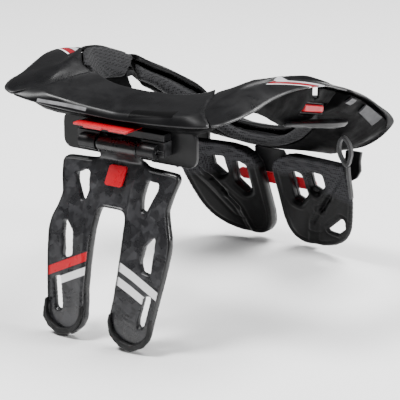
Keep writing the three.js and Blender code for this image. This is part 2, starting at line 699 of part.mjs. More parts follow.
// Rubber bumpers round the ends of the legs.
const BUMPER = [
  [0.437, 0.82], [0.44, 0.925], [0.39, 0.975], [0.3, 1.01], [0.2, 0.995], [0.125, 0.935],
  [0.1, 0.87], [0.104, 0.82], [0.135, 0.82], [0.132, 0.87], [0.155, 0.915], [0.215, 0.955],
  [0.295, 0.966], [0.36, 0.94], [0.4, 0.9], [0.4, 0.82],
];
const bumperRight = prismY(
  BUMPER.map(([x, d]) => [x * STRUT_WIDTH, dropZ(d)]),
  (x, z) => strutY(z) - strutRise(x, z) - 5.8,
  (x, z) => strutY(z) - strutRise(x, z) - 1.2,
);
const badgeTop = HINGE_Z - 0.085 * STRUT_LENGTH;
const strutBadge = prismY(
  roundedRect(-11.5, 11.5, badgeTop - 22, badgeTop - 1, 3),
  (x, z) => strutY(z) - 6.6,
  (x, z) => strutY(z) - 4,
);

function across(run) {
  return [...run, ...run.slice(0, -1).reverse().map(flipStation)];
}
const frontRing = across(stations(FRONT_SECTIONS, 0, FRONT_LAST, 22));
const frontInner = across(stations(FRONT_SECTIONS, 0.12, FRONT_LAST, 22));
const frontShellRing = (grow) => frontRing.map((s) => shellRing(s, { rimDepth: RIM_DEPTH, grow }));
const frontShell = skin(frontShellRing(0));
const frontLinerRing = (s) => linerRing(s, { rimDepth: RIM_DEPTH, reach: 0.9 });
const frontLiner = cut(
  skin(frontInner.map(frontLinerRing)),
  skin(frontShellRing(GAP)),
  frontLugBlock(GAP),
  pivotRoom,
  lugBlock(PIVOT_BOSS, 0, 1.5 * PIVOT_BOSS, FRONT_LUG, GAP),
);
const frontNeckPad = skin(frontInner.map((s) => padRing(s, RIM_DEPTH + 1.2)));

// A thin plate on the outer wall of the front padding, between two rows and two shares of the
// way down from the brow to the sole.
function wallPlate(from, to, high, low, wall) {
  return skin(
    stations(FRONT_SECTIONS, from, to, 4).map((s) => {
      const ring = frontLinerRing(s);
      const down = ring[5].clone().sub(ring[3]).normalize();
      const along = V(-s.inward.y, s.inward.x, 0);
      const out = V(0, 0, 0).crossVectors(along, down).normalize();
      if (out.dot(s.inward) > 0) out.negate();
      const p = (t, d) => mix(ring[3], ring[5], t).addScaledVector(out, d);
      const m = (high + low) / 2;
      return [p(high, 2), p(m, 2), p(low, 2), p(low, 2 + wall), p(m, 2.4 + wall), p(high, 2 + wall)];
    }),
  );
}
const labelPlate = wallPlate(1.9, 3.5, 0.04, 0.34, 1.6);
const sidePlate = wallPlate(0.2, 0.8, 0.03, 0.3, 1.6);

// Lobes that hang from the front edge, outside the chest wings: x as a share of RING_WIDTH,
// z as a share of SHELL_HEIGHT.
const LOBE = [
  [0.346, -0.4625], [0.342, -0.528], [0.346, -0.597], [0.333, -0.649], [0.312, -0.674],
  [0.291, -0.649], [0.282, -0.583], [0.284, -0.4625],
];
const lobeY = (z) => 0.468 * RING_LENGTH + 0.05 * (z + 0.472 * SHELL_HEIGHT);
const lobeRight = prismY(
  LOBE.map(([x, z]) => [x * RING_WIDTH, z * SHELL_HEIGHT]),
  (x, z) => lobeY(z),
  (x, z) => lobeY(z) + LOBE_WALL,
);

// Chest wings: each a plate with a foam pad behind it, hung from the front half.
const wingSurface = (x, z) =>
  WING_SET + WING_LEAN * (WING_TOP - 0.27 * WING_HEIGHT - z) - WING_HOLLOW * x * x;
function wingLayer(from, to, inset) {
  return skin(
    WING_ROWS.map(([h, a, b], i) => {
      const end = i === 0 ? -inset : i === WING_ROWS.length - 1 ? inset : 0;
      const z = WING_TOP - h * WING_HEIGHT + end;
      const x0 = WING_INNER + a * WING_WIDTH + inset;
      const x1 = WING_INNER + b * WING_WIDTH - inset;
      const ring = [];
      const steps = 5;
      for (let k = 0; k <= steps; k++) {
        const x = x0 + ((x1 - x0) * k) / steps;
        ring.push(V(x, wingSurface(x, z) + from, z));
      }
      for (let k = steps; k >= 0; k--) {
        const x = x0 + ((x1 - x0) * k) / steps;
        ring.push(V(x, wingSurface(x, z) + to, z));
      }
      return ring;
    }),
  );
}
const wingCuts = (grow) =>
  WING_WINDOWS.map((points) => {
    const xs = points.map(([x]) => WING_INNER + x * WING_WIDTH);
    const zs = points.map(([, z]) => WING_TOP - z * WING_HEIGHT);
    const cx = xs.reduce((a, b) => a + b) / xs.length;
    const cz = zs.reduce((a, b) => a + b) / zs.length;
    const outline = (g) =>
      xs.map((x, i) => {
        const d = Math.hypot(x - cx, zs[i] - cz);
        return [x + ((x - cx) * g) / d, zs[i] + ((zs[i] - cz) * g) / d];
      });
    return skin([
      outline(grow + 2).map(([x, z]) => V(x, wingSurface(x, z) - 6, z)),
      outline(grow - 1.5).map(([x, z]) => V(x, wingSurface(x, z) + WING_PAD + 14, z)),
    ]);
  });
// The thin outer corner of a wing, beyond a line from its outer edge to its foot: x as a share
// of WING_WIDTH from the inner edge, z as a share of WING_HEIGHT from the top.
const FLAP = [
  [1.1, -0.12], [0.84, 0.2], [0.61, 0.45], [0.39, 0.71], [0.26, 1.1], [1.1, 1.1],
];
const flapZone = prismY(
  FLAP.map(([x, z]) => [WING_INNER + x * WING_WIDTH, WING_TOP - z * WING_HEIGHT]),
  (x, z) => wingSurface(x, z) - WING_PAD,
  (x, z) => wingSurface(x, z) + 3 * WING_PAD,
);
const flapLayer = wingLayer(2, 2 + WING_FLAP, 0);
const wingPad = cut(
  join(cut(wingLayer(0, WING_PAD, 0), flapZone), flapLayer),
  ...wingCuts(0),
);
const wingPlate = cut(
  wingLayer(WING_PAD + GAP, WING_PAD + GAP + WING_PLATE, 2),
  flapZone,
  ...wingCuts(0),
);
// Strap hole low on the right wing.
const STRAP_HOLE = [[0.53, 0.795], [0.795, 0.6], [0.785, 0.725], [0.67, 0.81]];
const strapHole = prismY(
  STRAP_HOLE.map(([x, z]) => [WING_INNER + x * WING_WIDTH, WING_TOP - z * WING_HEIGHT]),
  (x, z) => wingSurface(x, z) - WING_PAD,
  (x, z) => wingSurface(x, z) + 2 * WING_PAD,
);

// Webbing loops between the front half and the wings, with a tail down the wing's outer edge.
// x is a share of RING_WIDTH, y of RING_LENGTH and z of SHELL_HEIGHT.
const LOOP_PATH = [
  [0.363, 0.347, -0.486], [0.344, 0.337, -0.424], [0.338, 0.332, -0.368], [0.345, 0.328, -0.309],
  [0.358, 0.327, -0.282], [0.376, 0.331, -0.319], [0.382, 0.337, -0.382], [0.375, 0.343, -0.438],
];
const TAIL_PATH = [
  [0.365, 0.349, -0.496], [0.3635, 0.358, -0.569], [0.3625, 0.373, -0.653], [0.359, 0.388, -0.736],
];
const onRing = ([x, y, z]) => V(x * RING_WIDTH, y * RING_LENGTH, z * SHELL_HEIGHT);
const loopCurve = new THREE.CatmullRomCurve3(LOOP_PATH.map(onRing), true);
const tailCurve = new THREE.CatmullRomCurve3(TAIL_PATH.map(onRing));
function webbing(curve, count, wrap) {
  const rings = [];
  const [t, w] = [WEB_WALL / 2, WEB_WIDTH / 2];
  for (let i = 0; i < (wrap ? count : count + 1); i++) {
    const p = curve.getPoint(i / count);
    const side = curve.getTangent(i / count).cross(V(0, 1, 0)).normalize();
    const c = (a, b) => p.clone().addScaledVector(side, a).add(V(0, b, 0));
    rings.push([c(-t, -w), c(t, -w), c(t, w), c(-t, w)]);
  }
  return skin(rings, wrap);
}
const strapLoop = webbing(loopCurve, 28, true);
const strapTail = webbing(tailCurve, 8, false);

// Bracket from the front half down to the wings, and the red clip that holds both to it.
const wingFront = WING_PAD + WING_PLATE + 2 * GAP;
const onWings = (outline, from, to) =>
  prismY(
    outline,
    (x, z) => wingSurface(0, z) + from,
    (x, z) => wingSurface(0, z) + to,
  );
// Outlines: x as a share of the piece's width, z as a share of WING_HEIGHT from the wings' top.
const hung = (outline, width) => outline.map(([x, z]) => [x * width, WING_TOP - z * WING_HEIGHT]);
const BRACKET = [
  [-0.405, 0.022], [0.405, 0.022], [0.5, 0.198], [0.5, 0.3], [-0.5, 0.3], [-0.5, 0.198],
];
const bracket = onWings(hung(BRACKET, BRACKET_WIDTH), wingFront, wingFront + BRACKET_WALL);
const clipTo = WING_TOP - 0.311 * WING_HEIGHT;
const CLIP = [
  [-0.5, 0.85], [-0.5, 0.15], [-0.467, 0], [0.467, 0], [0.5, 0.15], [0.5, 0.85], [0.467, 1],
  [-0.467, 1],
];
const chestClip = onWings(
  CLIP.map(([x, z]) => [x * CLIP_WIDTH, clipTo - z * CLIP_HEIGHT]),
  wingFront + 0.6,
  wingFront + 0.6 + 4.4,
);

const COLOURS = {
  shell: ["#0d0d0f", 0.42, 0],
  foam: ["#151517", 0.95, 0],
  mesh: ["#232326", 0.9, 0],
  strut: ["#1b1b1e", 0.35, 0],
  rubber: ["#111112", 0.7, 0],
  red: ["#c8161b", 0.35, 0],
  steel: ["#7c7c80", 0.35, 0.9],
};
const group = new THREE.Group();
function add(name, geometry, colour) {
  const [color, roughness, metalness] = COLOURS[colour];
  const material = new THREE.MeshStandardMaterial({ color, roughness, metalness });
  const mesh = new THREE.Mesh(geometry, material);
  mesh.name = name;
  group.add(mesh);
}
function addPair(name, geometry, colour) {
  add(name + "_right", geometry, colour);
  add(name + "_left", mirrored(geometry), colour);
}

add("rear_table", rearTable, "shell");
addPair("shoulder_arm", armRight, "shell");
add("rear_liner", rearLiner, "foam");
add("neck_pad_rear", neckPadRear, "mesh");
add("neck_pad_right", cut(neckPad, slitEnd), "mesh");
add("neck_pad_left", mirrored(neckPad), "mesh");
add("back_plate", backPlate, "shell");
addPair("hinge_knuckle", knuckleRight, "shell");
add("hinge_bridge", hingeBridge, "shell");
add("hinge_pin", hingePin, "steel");
add("rear_clip", rearClip, "red");
add("thoracic_strut", strut, "strut");
addPair("strut_bumper", bumperRight, "rubber");
add("strut_badge", strutBadge, "red");
add("front_shell", frontShell, "shell");
add("front_liner", frontLiner, "foam");
add("front_neck_pad", frontNeckPad, "mesh");
add("lock_housing", lockHousing, "shell");
add("lock_button", lockButton, "red");
add("lock_tongue", lockTongue, "strut");
add("rear_pivot_lug", rearLug, "shell");
add("front_pivot_lug", frontLug, "shell");
add("pivot_pin", pivotPin, "steel");
addPair("label_plate", labelPlate, "strut");
add("side_plate", sidePlate, "strut");
addPair("front_lobe", lobeRight, "shell");
add("chest_bracket", bracket, "shell");
add("chest_clip", chestClip, "red");
add("chest_pad_right", cut(wingPad, strapHole), "foam");
add("chest_pad_left", mirrored(wingPad), "foam");
add("chest_plate_right", cut(wingPlate, strapHole), "shell");
add("chest_plate_left", mirrored(wingPlate), "shell");
addPair("strap_loop", strapLoop, "foam");
addPair("strap_tail", strapTail, "foam");

export default group;
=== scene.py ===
"""Motocross neck brace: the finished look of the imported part, built piece by piece.

Metres, +Z up, in the part's own frame: the wearer faces +Y with the right shoulder at +X, and
the origin is the centre of the neck opening where the ring is seated.
"""

import json
import math

import bmesh
import bpy
from bpy.props import FloatProperty, FloatVectorProperty, PointerProperty
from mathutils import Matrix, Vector
from mathutils.kdtree import KDTree

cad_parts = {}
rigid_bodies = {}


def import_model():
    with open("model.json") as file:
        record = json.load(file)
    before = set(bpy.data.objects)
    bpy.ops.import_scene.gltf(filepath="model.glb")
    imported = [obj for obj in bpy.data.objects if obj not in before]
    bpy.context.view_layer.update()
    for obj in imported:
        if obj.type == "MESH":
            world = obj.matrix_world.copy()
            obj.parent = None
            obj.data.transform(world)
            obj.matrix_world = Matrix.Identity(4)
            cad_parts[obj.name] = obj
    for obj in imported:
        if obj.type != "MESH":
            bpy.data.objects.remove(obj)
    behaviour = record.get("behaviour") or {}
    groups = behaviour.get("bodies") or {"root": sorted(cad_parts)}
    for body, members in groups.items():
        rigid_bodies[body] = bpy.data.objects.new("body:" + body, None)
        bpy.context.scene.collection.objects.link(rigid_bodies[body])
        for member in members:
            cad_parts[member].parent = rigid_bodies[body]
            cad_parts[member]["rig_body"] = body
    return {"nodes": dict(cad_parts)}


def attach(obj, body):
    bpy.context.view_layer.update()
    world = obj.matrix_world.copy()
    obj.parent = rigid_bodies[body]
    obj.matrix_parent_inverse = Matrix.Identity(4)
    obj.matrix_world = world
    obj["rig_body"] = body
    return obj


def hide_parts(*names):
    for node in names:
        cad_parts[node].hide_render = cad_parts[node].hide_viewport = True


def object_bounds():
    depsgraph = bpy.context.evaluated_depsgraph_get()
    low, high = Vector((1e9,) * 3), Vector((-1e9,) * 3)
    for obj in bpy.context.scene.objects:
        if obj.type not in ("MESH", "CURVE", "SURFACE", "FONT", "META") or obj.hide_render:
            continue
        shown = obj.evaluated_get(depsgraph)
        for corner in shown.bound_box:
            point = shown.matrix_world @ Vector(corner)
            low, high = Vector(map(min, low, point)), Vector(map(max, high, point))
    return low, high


bl_info = {
    "name": "Motocross neck brace",
    "version": (1, 0, 0),
    "blender": (4, 5, 0),
    "location": "3D View > Sidebar > Neck Brace",
    "description": "Builds a motocross neck brace piece by piece around its packed frame",
    "category": "Object",
}

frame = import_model()
CAD_BOX = [list(corner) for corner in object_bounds()]
MM = 0.001
UP = Vector((0, 0, 1))


# Sizes and colours


def metres(name, description, default):
    return FloatProperty(name=name, description=description, default=default, unit="LENGTH")


def colour(name, description, default):
    return FloatVectorProperty(
        name=name, description=description, default=default, subtype="COLOR", min=0, max=1
    )


class RingSizes(bpy.types.PropertyGroup):
    """The ring that rests on the shoulders."""

    width: metres("Ring width", "Over both shoulder edges", 0.282)
    length: metres("Ring length", "From the rear lip to the front edge", 0.297)
    height: metres("Shell height", "From the front lobes to the top of the shoulders", 0.144)
    wall: metres("Shell wall", "Thickness of the moulded shells", 0.0036)
    rim_depth: metres("Front rim depth", "Height of the front shell's inner rim", 0.008)
    pad: metres("Neck pad", "Thickness of the padding round the neck", 0.008)
    gap: metres("Gap", "Clearance between pieces that touch", 0.00035)
    seam_step: metres("Seam step", "Drop from the rear table to the shoulder shells", 0.003)


class StrutSizes(bpy.types.PropertyGroup):
    """The relief on the rear face of the thoracic strut."""

    window_radius: metres("Window radius", "Rounding of the windows' corners", 0.0011)
    border_width: metres("Border width", "Raised border along every edge", 0.0016)
    border_slope: metres("Border slope", "Width of the border's fall to the plate", 0.001)
    border_rise: metres("Border rise", "Height of the border over the plate", 0.0012)
    flank_rise: metres("Flank rise", "Height of the flanks over the middle channel", 0.001)
    flank_slope: metres("Flank slope", "Half the width of the flanks' fall", 0.0016)


class BraceColours(bpy.types.PropertyGroup):
    """Base colours of the finishes."""

    shell: colour("Shell", "Moulded shells", (0.0035, 0.0035, 0.004))
    foam: colour("Foam", "Foam bodies under the shells", (0.0012, 0.0012, 0.0014))
    mesh: colour("Mesh fabric", "Cover of the padding", (0.016, 0.016, 0.0175))
    chest_mesh: colour("Chest mesh", "Mesh on the chest pads", (0.034, 0.034, 0.037))
    strut: colour("Strut", "Strut plate", (0.012, 0.012, 0.0135))
    rubber: colour("Rubber", "Bumpers", (0.004, 0.004, 0.0043))
    red: colour("Red plastic", "Clips, button and badge", (0.48, 0.002, 0.012))
    dark_red: colour("Dark red print", "Shoulder bands", (0.21, 0.003, 0.01))
    worn_white: colour("Worn print", "Wide shoulder bands", (0.42, 0.42, 0.44))
    white: colour("White print", "Light bands", (0.78, 0.78, 0.79))
    steel: colour("Steel", "Pins", (0.42, 0.42, 0.43))
    label: colour("Label panels", "Bare panels on the front half", (0.024, 0.024, 0.027))
    webbing: colour("Webbing", "Straps", (0.022, 0.022, 0.024))
    floor: colour("Floor", "Floor of the stage", (0.96, 0.96, 0.96))


# Section tables: x is a share of the ring's width, y of its length and z of its height.

POINTS = ("rim", "crease", "edge", "foot", "sole")
REAR_SECTIONS = (
    (0, -0.290, 0.215, 0, -0.458, 0.149, 0, -0.471, 0.104,
     0, -0.269, 0.069, 0, -0.441, 0.062),
    (0.124, -0.279, 0.222, 0.160, -0.460, 0.174, 0.195, -0.478, 0.125,
     0.135, -0.259, 0.069, 0.177, -0.448, 0.069),
    (0.206, -0.259, 0.250, 0.277, -0.461, 0.215, 0.326, -0.495, 0.160,
     0.213, -0.236, 0.076, 0.298, -0.451, 0.083),
    (0.248, -0.239, 0.288, 0.305, -0.411, 0.243, 0.408, -0.493, 0.198,
     0.248, -0.205, 0.083, 0.348, -0.431, 0.125),
    (0.284, -0.209, 0.312, 0.316, -0.360, 0.274, 0.440, -0.441, 0.222,
     0.280, -0.168, 0.090, 0.376, -0.384, 0.174),
    (0.316, -0.172, 0.330, 0.337, -0.306, 0.299, 0.450, -0.364, 0.240,
     0.301, -0.135, 0.097, 0.387, -0.323, 0.191),
    (0.340, -0.141, 0.333, 0.355, -0.242, 0.312, 0.461, -0.283, 0.278,
     0.316, -0.101, 0.101, 0.390, -0.249, 0.142),
    (0.358, -0.108, 0.333, 0.376, -0.185, 0.316, 0.479, -0.202, 0.299,
     0.323, -0.067, 0.101, 0.387, -0.168, 0.059),
    (0.369, -0.054, 0.319, 0.404, -0.114, 0.306, 0.493, -0.114, 0.292,
     0.326, -0.037, 0.094, 0.379, -0.088, -0.014),
    (0.372, 0.007, 0.292, 0.418, -0.020, 0.274, 0.498, -0.020, 0.260,
     0.328, -0.007, 0.083, 0.376, 0, -0.049),
    (0.372, 0.074, 0.240, 0.418, 0.061, 0.229, 0.491, 0.061, 0.208,
     0.328, 0.020, 0.073, 0.372, 0.074, -0.062),
    (0.365, 0.141, 0.184, 0.415, 0.141, 0.174, 0.480, 0.141, 0.156,
     0.328, 0.040, 0.066, 0.372, 0.128, -0.035),
)
FRONT_SECTIONS = (
    (0.365, 0.155, 0.177, 0.415, 0.155, 0.167, 0.475, 0.168, 0.142,
     0.323, 0.108, 0.024, 0.369, 0.165, -0.042),
    (0.348, 0.209, 0.111, 0.404, 0.215, 0.108, 0.472, 0.226, 0.097,
     0.305, 0.175, -0.042, 0.365, 0.236, -0.118),
    (0.312, 0.269, 0.042, 0.383, 0.283, 0.038, 0.466, 0.296, 0.035,
     0.277, 0.236, -0.139, 0.358, 0.303, -0.222),
    (0.270, 0.306, -0.021, 0.358, 0.347, -0.028, 0.468, 0.374, -0.056,
     0.241, 0.276, -0.222, 0.348, 0.357, -0.319),
    (0.220, 0.337, -0.090, 0.326, 0.397, -0.097, 0.475, 0.438, -0.139,
     0.199, 0.303, -0.299, 0.333, 0.397, -0.389),
    (0.170, 0.357, -0.201, 0.284, 0.438, -0.208, 0.472, 0.468, -0.201,
     0.156, 0.320, -0.361, 0.305, 0.428, -0.444),
    (0.128, 0.367, -0.267, 0.234, 0.461, -0.292, 0.450, 0.487, -0.257,
     0.121, 0.327, -0.396, 0.262, 0.448, -0.486),
    (0.092, 0.372, -0.295, 0.184, 0.478, -0.333, 0.397, 0.498, -0.361,
     0.089, 0.333, -0.424, 0.213, 0.461, -0.493),
    (0.060, 0.375, -0.303, 0.135, 0.487, -0.368, 0.326, 0.505, -0.444,
     0.060, 0.336, -0.438, 0.156, 0.468, -0.500),
    (0.035, 0.377, -0.307, 0.085, 0.492, -0.396, 0.220, 0.512, -0.493,
     0.035, 0.337, -0.448, 0.099, 0.471, -0.507),
    (0.018, 0.377, -0.308, 0.043, 0.494, -0.406, 0.106, 0.515, -0.514,
     0.018, 0.337, -0.451, 0.050, 0.475, -0.510),
    (0, 0.377, -0.308, 0, 0.495, -0.410, 0, 0.515, -0.521,
     0, 0.337, -0.451, 0, 0.475, -0.514),
)
# Rows of the rear table of sections where something changes.
STEP_START = 1.6  # the step down at the end of the raised table begins
PAD_START, PAD_FULL = 2.2, 3.6  # the shell gives way to the neck pad
TABLE_END = 2.6  # the raised table ends
ARM_LEVEL = 5.0  # the shoulder shell is back at full height
ROW_OVERLAP = 0.1  # how far the shoulder shells reach under the table
# Outline of a shell in millimetres: how far its two slopes bulge, and the rounding of the rim
# downwards and inwards and of the edge.
INNER_CROWN, OUTER_CROWN = 1.2, 0.8
RIM_DROP, RIM_REACH, EDGE_REACH = 1.2, 1.4, 0.6
# Sharpness of the lines along a shell, by their place in its outline: crease, edge, underside.
CRISP = {3: 0.75, 5: 0.5, 8: 0.4}


def sizes():
    return bpy.context.scene.ring_sizes


def strut_sizes():
    return bpy.context.scene.strut_sizes


def colours():
    return bpy.context.scene.brace_colours


# Curves and sections


def curve_point(points, t):
    """A point of the centripetal Catmull-Rom curve through the points, t from 0 to 1."""
    last = len(points) - 1
    at = min(max(t, 0.0), 1.0) * last
    i = min(int(at), last - 1)
    w = at - i
    p1, p2 = points[i], points[i + 1]
    p0 = points[i - 1] if i > 0 else p1 * 2 - p2
    p3 = points[i + 2] if i + 2 <= last else p2 * 2 - p1
    d0, d1, d2 = ((b - a).length ** 0.5 for a, b in ((p0, p1), (p1, p2), (p2, p3)))
    t1 = ((p1 - p0) / d0 - (p2 - p0) / (d0 + d1) + (p2 - p1) / d1) * d1
    t2 = ((p2 - p1) / d1 - (p3 - p1) / (d1 + d2) + (p3 - p2) / d2) * d1
    c2 = (p2 - p1) * 3 - t1 * 2 - t2
    c3 = (p1 - p2) * 2 + t1 + t2
    return p1 + t1 * w + c2 * w * w + c3 * w**3


class Section:
    """One section of the ring: its five named points and the direction towards the neck."""

    def __init__(self, row, points):
        self.row = row
        for name, point in zip(POINTS, points):
            setattr(self, name, point)
        self.inward = Vector((self.rim.x - self.edge.x, self.rim.y - self.edge.y, 0)).normalized()

    def flipped(self):
        points = [getattr(self, name) for name in POINTS]
        return Section(self.row, [Vector((-p.x, p.y, p.z)) for p in points])


def sections(table, first, last, count):
    """Sections at evenly spaced rows of a table."""
    scale = (sizes().width, sizes().length, sizes().height)
    curves = [
        [Vector([row[3 * i + k] * scale[k] for k in range(3)]) for row in table]
        for i in range(len(POINTS))
    ]
    rows = [first + (last - first) * k / count for k in range(count + 1)]
    return [Section(row, [curve_point(c, row / (len(table) - 1)) for c in curves]) for row in rows]


def rear_both(half):
    """Both sides of a run that starts at the centre line."""
    return [s.flipped() for s in reversed(half[1:])] + half


def front_both(half):
    """Both sides of a run that ends at the centre line."""
    return half + [s.flipped() for s in reversed(half[:-1])]


def shift(point, inward, d_in, d_up):
    """A point moved towards the neck and up."""
    return point + inward * d_in + UP * d_up


def under(s, a, b):
    """Normal of a line in the plane of a section, on the side of the padding."""
    line = b - a
    return (s.inward * -line.z + UP * line.dot(s.inward)).normalized()


def top_line(s, inset, dip):
    """The top of one section, slightly crowned: its points and the normals of its two slopes."""
    rim = shift(s.rim, s.inward, -inset, -dip)
    crease = shift(s.crease, s.inward, 0, -dip * 0.7)
    n1 = under(s, rim, crease)
    n2 = under(s, crease, s.edge)
    m1 = rim.lerp(crease, 0.45) - n1 * INNER_CROWN * MM
    m2 = crease.lerp(s.edge, 0.5) - n2 * OUTER_CROWN * MM
    return rim, crease, m1, m2, n1, n2, (n1 + n2).normalized()


def shell_ring(s, inset=0.0, rim_depth=0.004, dip=0.0):
    """Outline of the shell's wall over one section."""
    h, wall = s.inward, sizes().wall
    rim, crease, m1, m2, n1, n2, nc = top_line(s, inset, dip)
    return [
        shift(rim, h, 0, -RIM_DROP * MM),
        shift(rim, h, -RIM_REACH * MM, 0),
        m1,
        crease,
        m2,
        s.edge.copy(),
        s.edge + n2 * wall * 0.45 + h * EDGE_REACH * MM,
        s.edge.lerp(crease, 0.12) + n2 * wall * 0.6,
        crease + nc * wall,
        m1 + n1 * wall,
        shift(rim, h, 0, -rim_depth),
    ]


def ease(t):
    """A share held between 0 and 1."""
    return max(0.0, min(1.0, t))


def dip_at(row):
    """How far the shoulder shell lies below the sections at a row."""
    fall = ease((row - STEP_START) / (TABLE_END - STEP_START))
    return sizes().seam_step * min(fall, ease((ARM_LEVEL - row) / (ARM_LEVEL - TABLE_END)))


# Mesh building


def piece(name, bm):
    """A new object from a bmesh, at the origin."""
    mesh = bpy.data.meshes.new(name)
    bm.to_mesh(mesh)
    bm.free()
    if "custom_normal" in mesh.attributes:
        mesh.attributes.remove(mesh.attributes["custom_normal"])
    mesh.shade_smooth()
    obj = bpy.data.objects.new(name, mesh)
    bpy.context.scene.collection.objects.link(obj)
    return obj


def edge_loop(bm, points):
    verts = [bm.verts.new(p) for p in points]
    return [bm.edges.new((a, b)) for a, b in zip(verts, verts[1:] + verts[:1])]


def loft(rings, wrap=False):
    """A closed skin bridged over loops of points."""
    bm = bmesh.new()
    loops = [edge_loop(bm, ring) for ring in rings]
    pairs = list(zip(loops, loops[1:]))
    if wrap:
        pairs.append((loops[-1], loops[0]))
    for a, b in pairs:
        bmesh.ops.bridge_loops(bm, edges=a + b)
    if not wrap:
        for loop in (loops[0], loops[-1]):
            bmesh.ops.contextual_create(bm, geom=loop)
    bmesh.ops.recalc_face_normals(bm, faces=bm.faces)
    return bm


def shell_loft(rings):
    """A shell over its sections, with its crease and its edge kept crisp."""
    count = len(rings[0])
    bm = loft(rings)
    bm.verts.index_update()
    layer = bm.edges.layers.float.new("crease_edge")
    for edge in bm.edges:
        a, b = (v.index % count for v in edge.verts)
        if a == b:
            edge[layer] = CRISP.get(a, 0.0)
    return bm


def node_bmesh(node):
    """A merged copy of a CAD node's mesh."""
    bm = bmesh.new()
    bm.from_mesh(frame["nodes"][node].data)
    bmesh.ops.remove_doubles(bm, verts=bm.verts, dist=1e-6)
    bmesh.ops.recalc_face_normals(bm, faces=bm.faces)
    return bm


def modifier(obj, kind, **settings):
    mod = obj.modifiers.new(kind.lower(), kind)
    for key, value in settings.items():
        setattr(mod, key, value)
    return mod


def settle(obj):
    """Turns an object's modifiers into mesh."""
    depsgraph = bpy.context.evaluated_depsgraph_get()
    mesh = bpy.data.meshes.new_from_object(obj.evaluated_get(depsgraph))
    old = obj.data
    obj.modifiers.clear()
    obj.data = mesh
    bpy.data.meshes.remove(old)
    mesh.shade_smooth()
    return obj


def subdivided(obj, levels=2):
    modifier(obj, "SUBSURF", levels=levels, render_levels=levels)
    return obj


def bevelled(node, name, width, segments=3, angle=30):
    """A copy of a hard CAD node with rounded edges."""
    bm = node_bmesh(node)
    bmesh.ops.dissolve_limit(
        bm, angle_limit=math.radians(3), verts=bm.verts, edges=bm.edges, delimit={"NORMAL"}
    )
    obj = piece(name, bm)
    modifier(
        obj, "BEVEL", width=width, segments=segments, limit_method="ANGLE",
        angle_limit=math.radians(angle), profile=0.5, use_clamp_overlap=True,
        harden_normals=True,
    )
    return settle(obj)


def moulded(obj, voxel, smooth, outline=0):
    """One even skin with softened edges. The outline passes move nothing along the depth."""
    modifier(obj, "REMESH", mode="VOXEL", voxel_size=voxel)
    if outline:
        modifier(obj, "SMOOTH", factor=0.5, iterations=outline, use_y=False)
    modifier(obj, "SMOOTH", factor=0.5, iterations=smooth)
    return settle(obj)


def inflated(obj, cap, pressure=4.0, steps=14):
    """A cloth simulation of the pad under pressure; no point moves further than cap."""
    rest = [v.co.copy() for v in obj.data.vertices]
    cloth = modifier(obj, "CLOTH")
    cloth.settings.quality = 4
    cloth.settings.use_pressure = True
    cloth.settings.uniform_pressure_force = pressure
    cloth.settings.tension_stiffness = 40
    cloth.settings.compression_stiffness = 40
    cloth.settings.bending_stiffness = 2
    cloth.settings.effector_weights.gravity = 0
    cloth.collision_settings.use_collision = False
    scene = bpy.context.scene
    for step in range(1, steps + 1):
        scene.frame_set(step)
    settle(obj)
    scene.frame_set(1)
    for vert, start in zip(obj.data.vertices, rest):
        move = vert.co - start
        if move.length > cap:
            vert.co = start + move * (cap / move.length)
    return obj


# Relief and changes of size


WALL_NORMAL = 0.45  # a side wall's normal has less than this share along the depth
# Chest pads, in millimetres: the channel across each, from the centre line and up; the box that
# holds its windows; the depth of the windows' chamfer and the distances where it ends.
CHANNEL = ((99, -70), (88, -91), (66, -118), (44, -148))
CHEST_WINDOW = (21, 71, -131, -85)
CHAMFER_DEPTH, CHAMFER_TOP, CHAMFER_FOOT = 3.2, 0.6, 4.6
# Grooves and ridges of a chest pad, in millimetres: what they run along, depth, distance from
# it and half width. A ridge has a negative depth.
CHEST_RELIEF = (
    ("window", -0.8, 6.4, 2.2), ("border", 1.0, 5.4, 1.8), ("border", -0.9, 2.4, 2.2),
    ("channel", 2.8, 0, 3.4), ("channel", 1.2, 13, 2.4),
)


def smooth_step(value, low, high):
    """A share that rises from 0 at low to 1 at high, level at both ends."""
    t = ease((value - low) / (high - low))
    return t * t * (3 - 2 * t)


def wall_tree(obj, keep):
    """The vertices of the side walls that a test keeps, as seen along the depth."""
    walls = [
        v.co.copy() for v in obj.data.vertices if abs(v.normal.y) < WALL_NORMAL and keep(v.co)
    ]
    tree = KDTree(len(walls))
    for i, co in enumerate(walls):
        tree.insert((co.x, 0, co.z), i)
    tree.balance()
    return tree


def from_wall(tree, co):
    """Distance from the nearest of the walls in millimetres, as seen along the depth."""
    return tree.find((co.x, 0, co.z))[2] / MM


def hump(value, middle, half):
    """A smooth hump of height 1 round a value."""
    return 1 - smooth_step(abs(value - middle), 0, half)


def from_channel(x, z):
    """Distance from the channel in millimetres, positive on the outer side."""
    best = None
    point = Vector((x, z))
    for a, b in zip(CHANNEL, CHANNEL[1:]):
        a, b = Vector(a), Vector(b)
        line = b - a
        t = ease((point - a).dot(line) / line.length_squared)
        off = point - (a + line * t)
        side = 1 if off.dot(Vector((-line.y, line.x))) > 0 else -1
        if best is None or off.length < abs(best):
            best = off.length * side
    return best


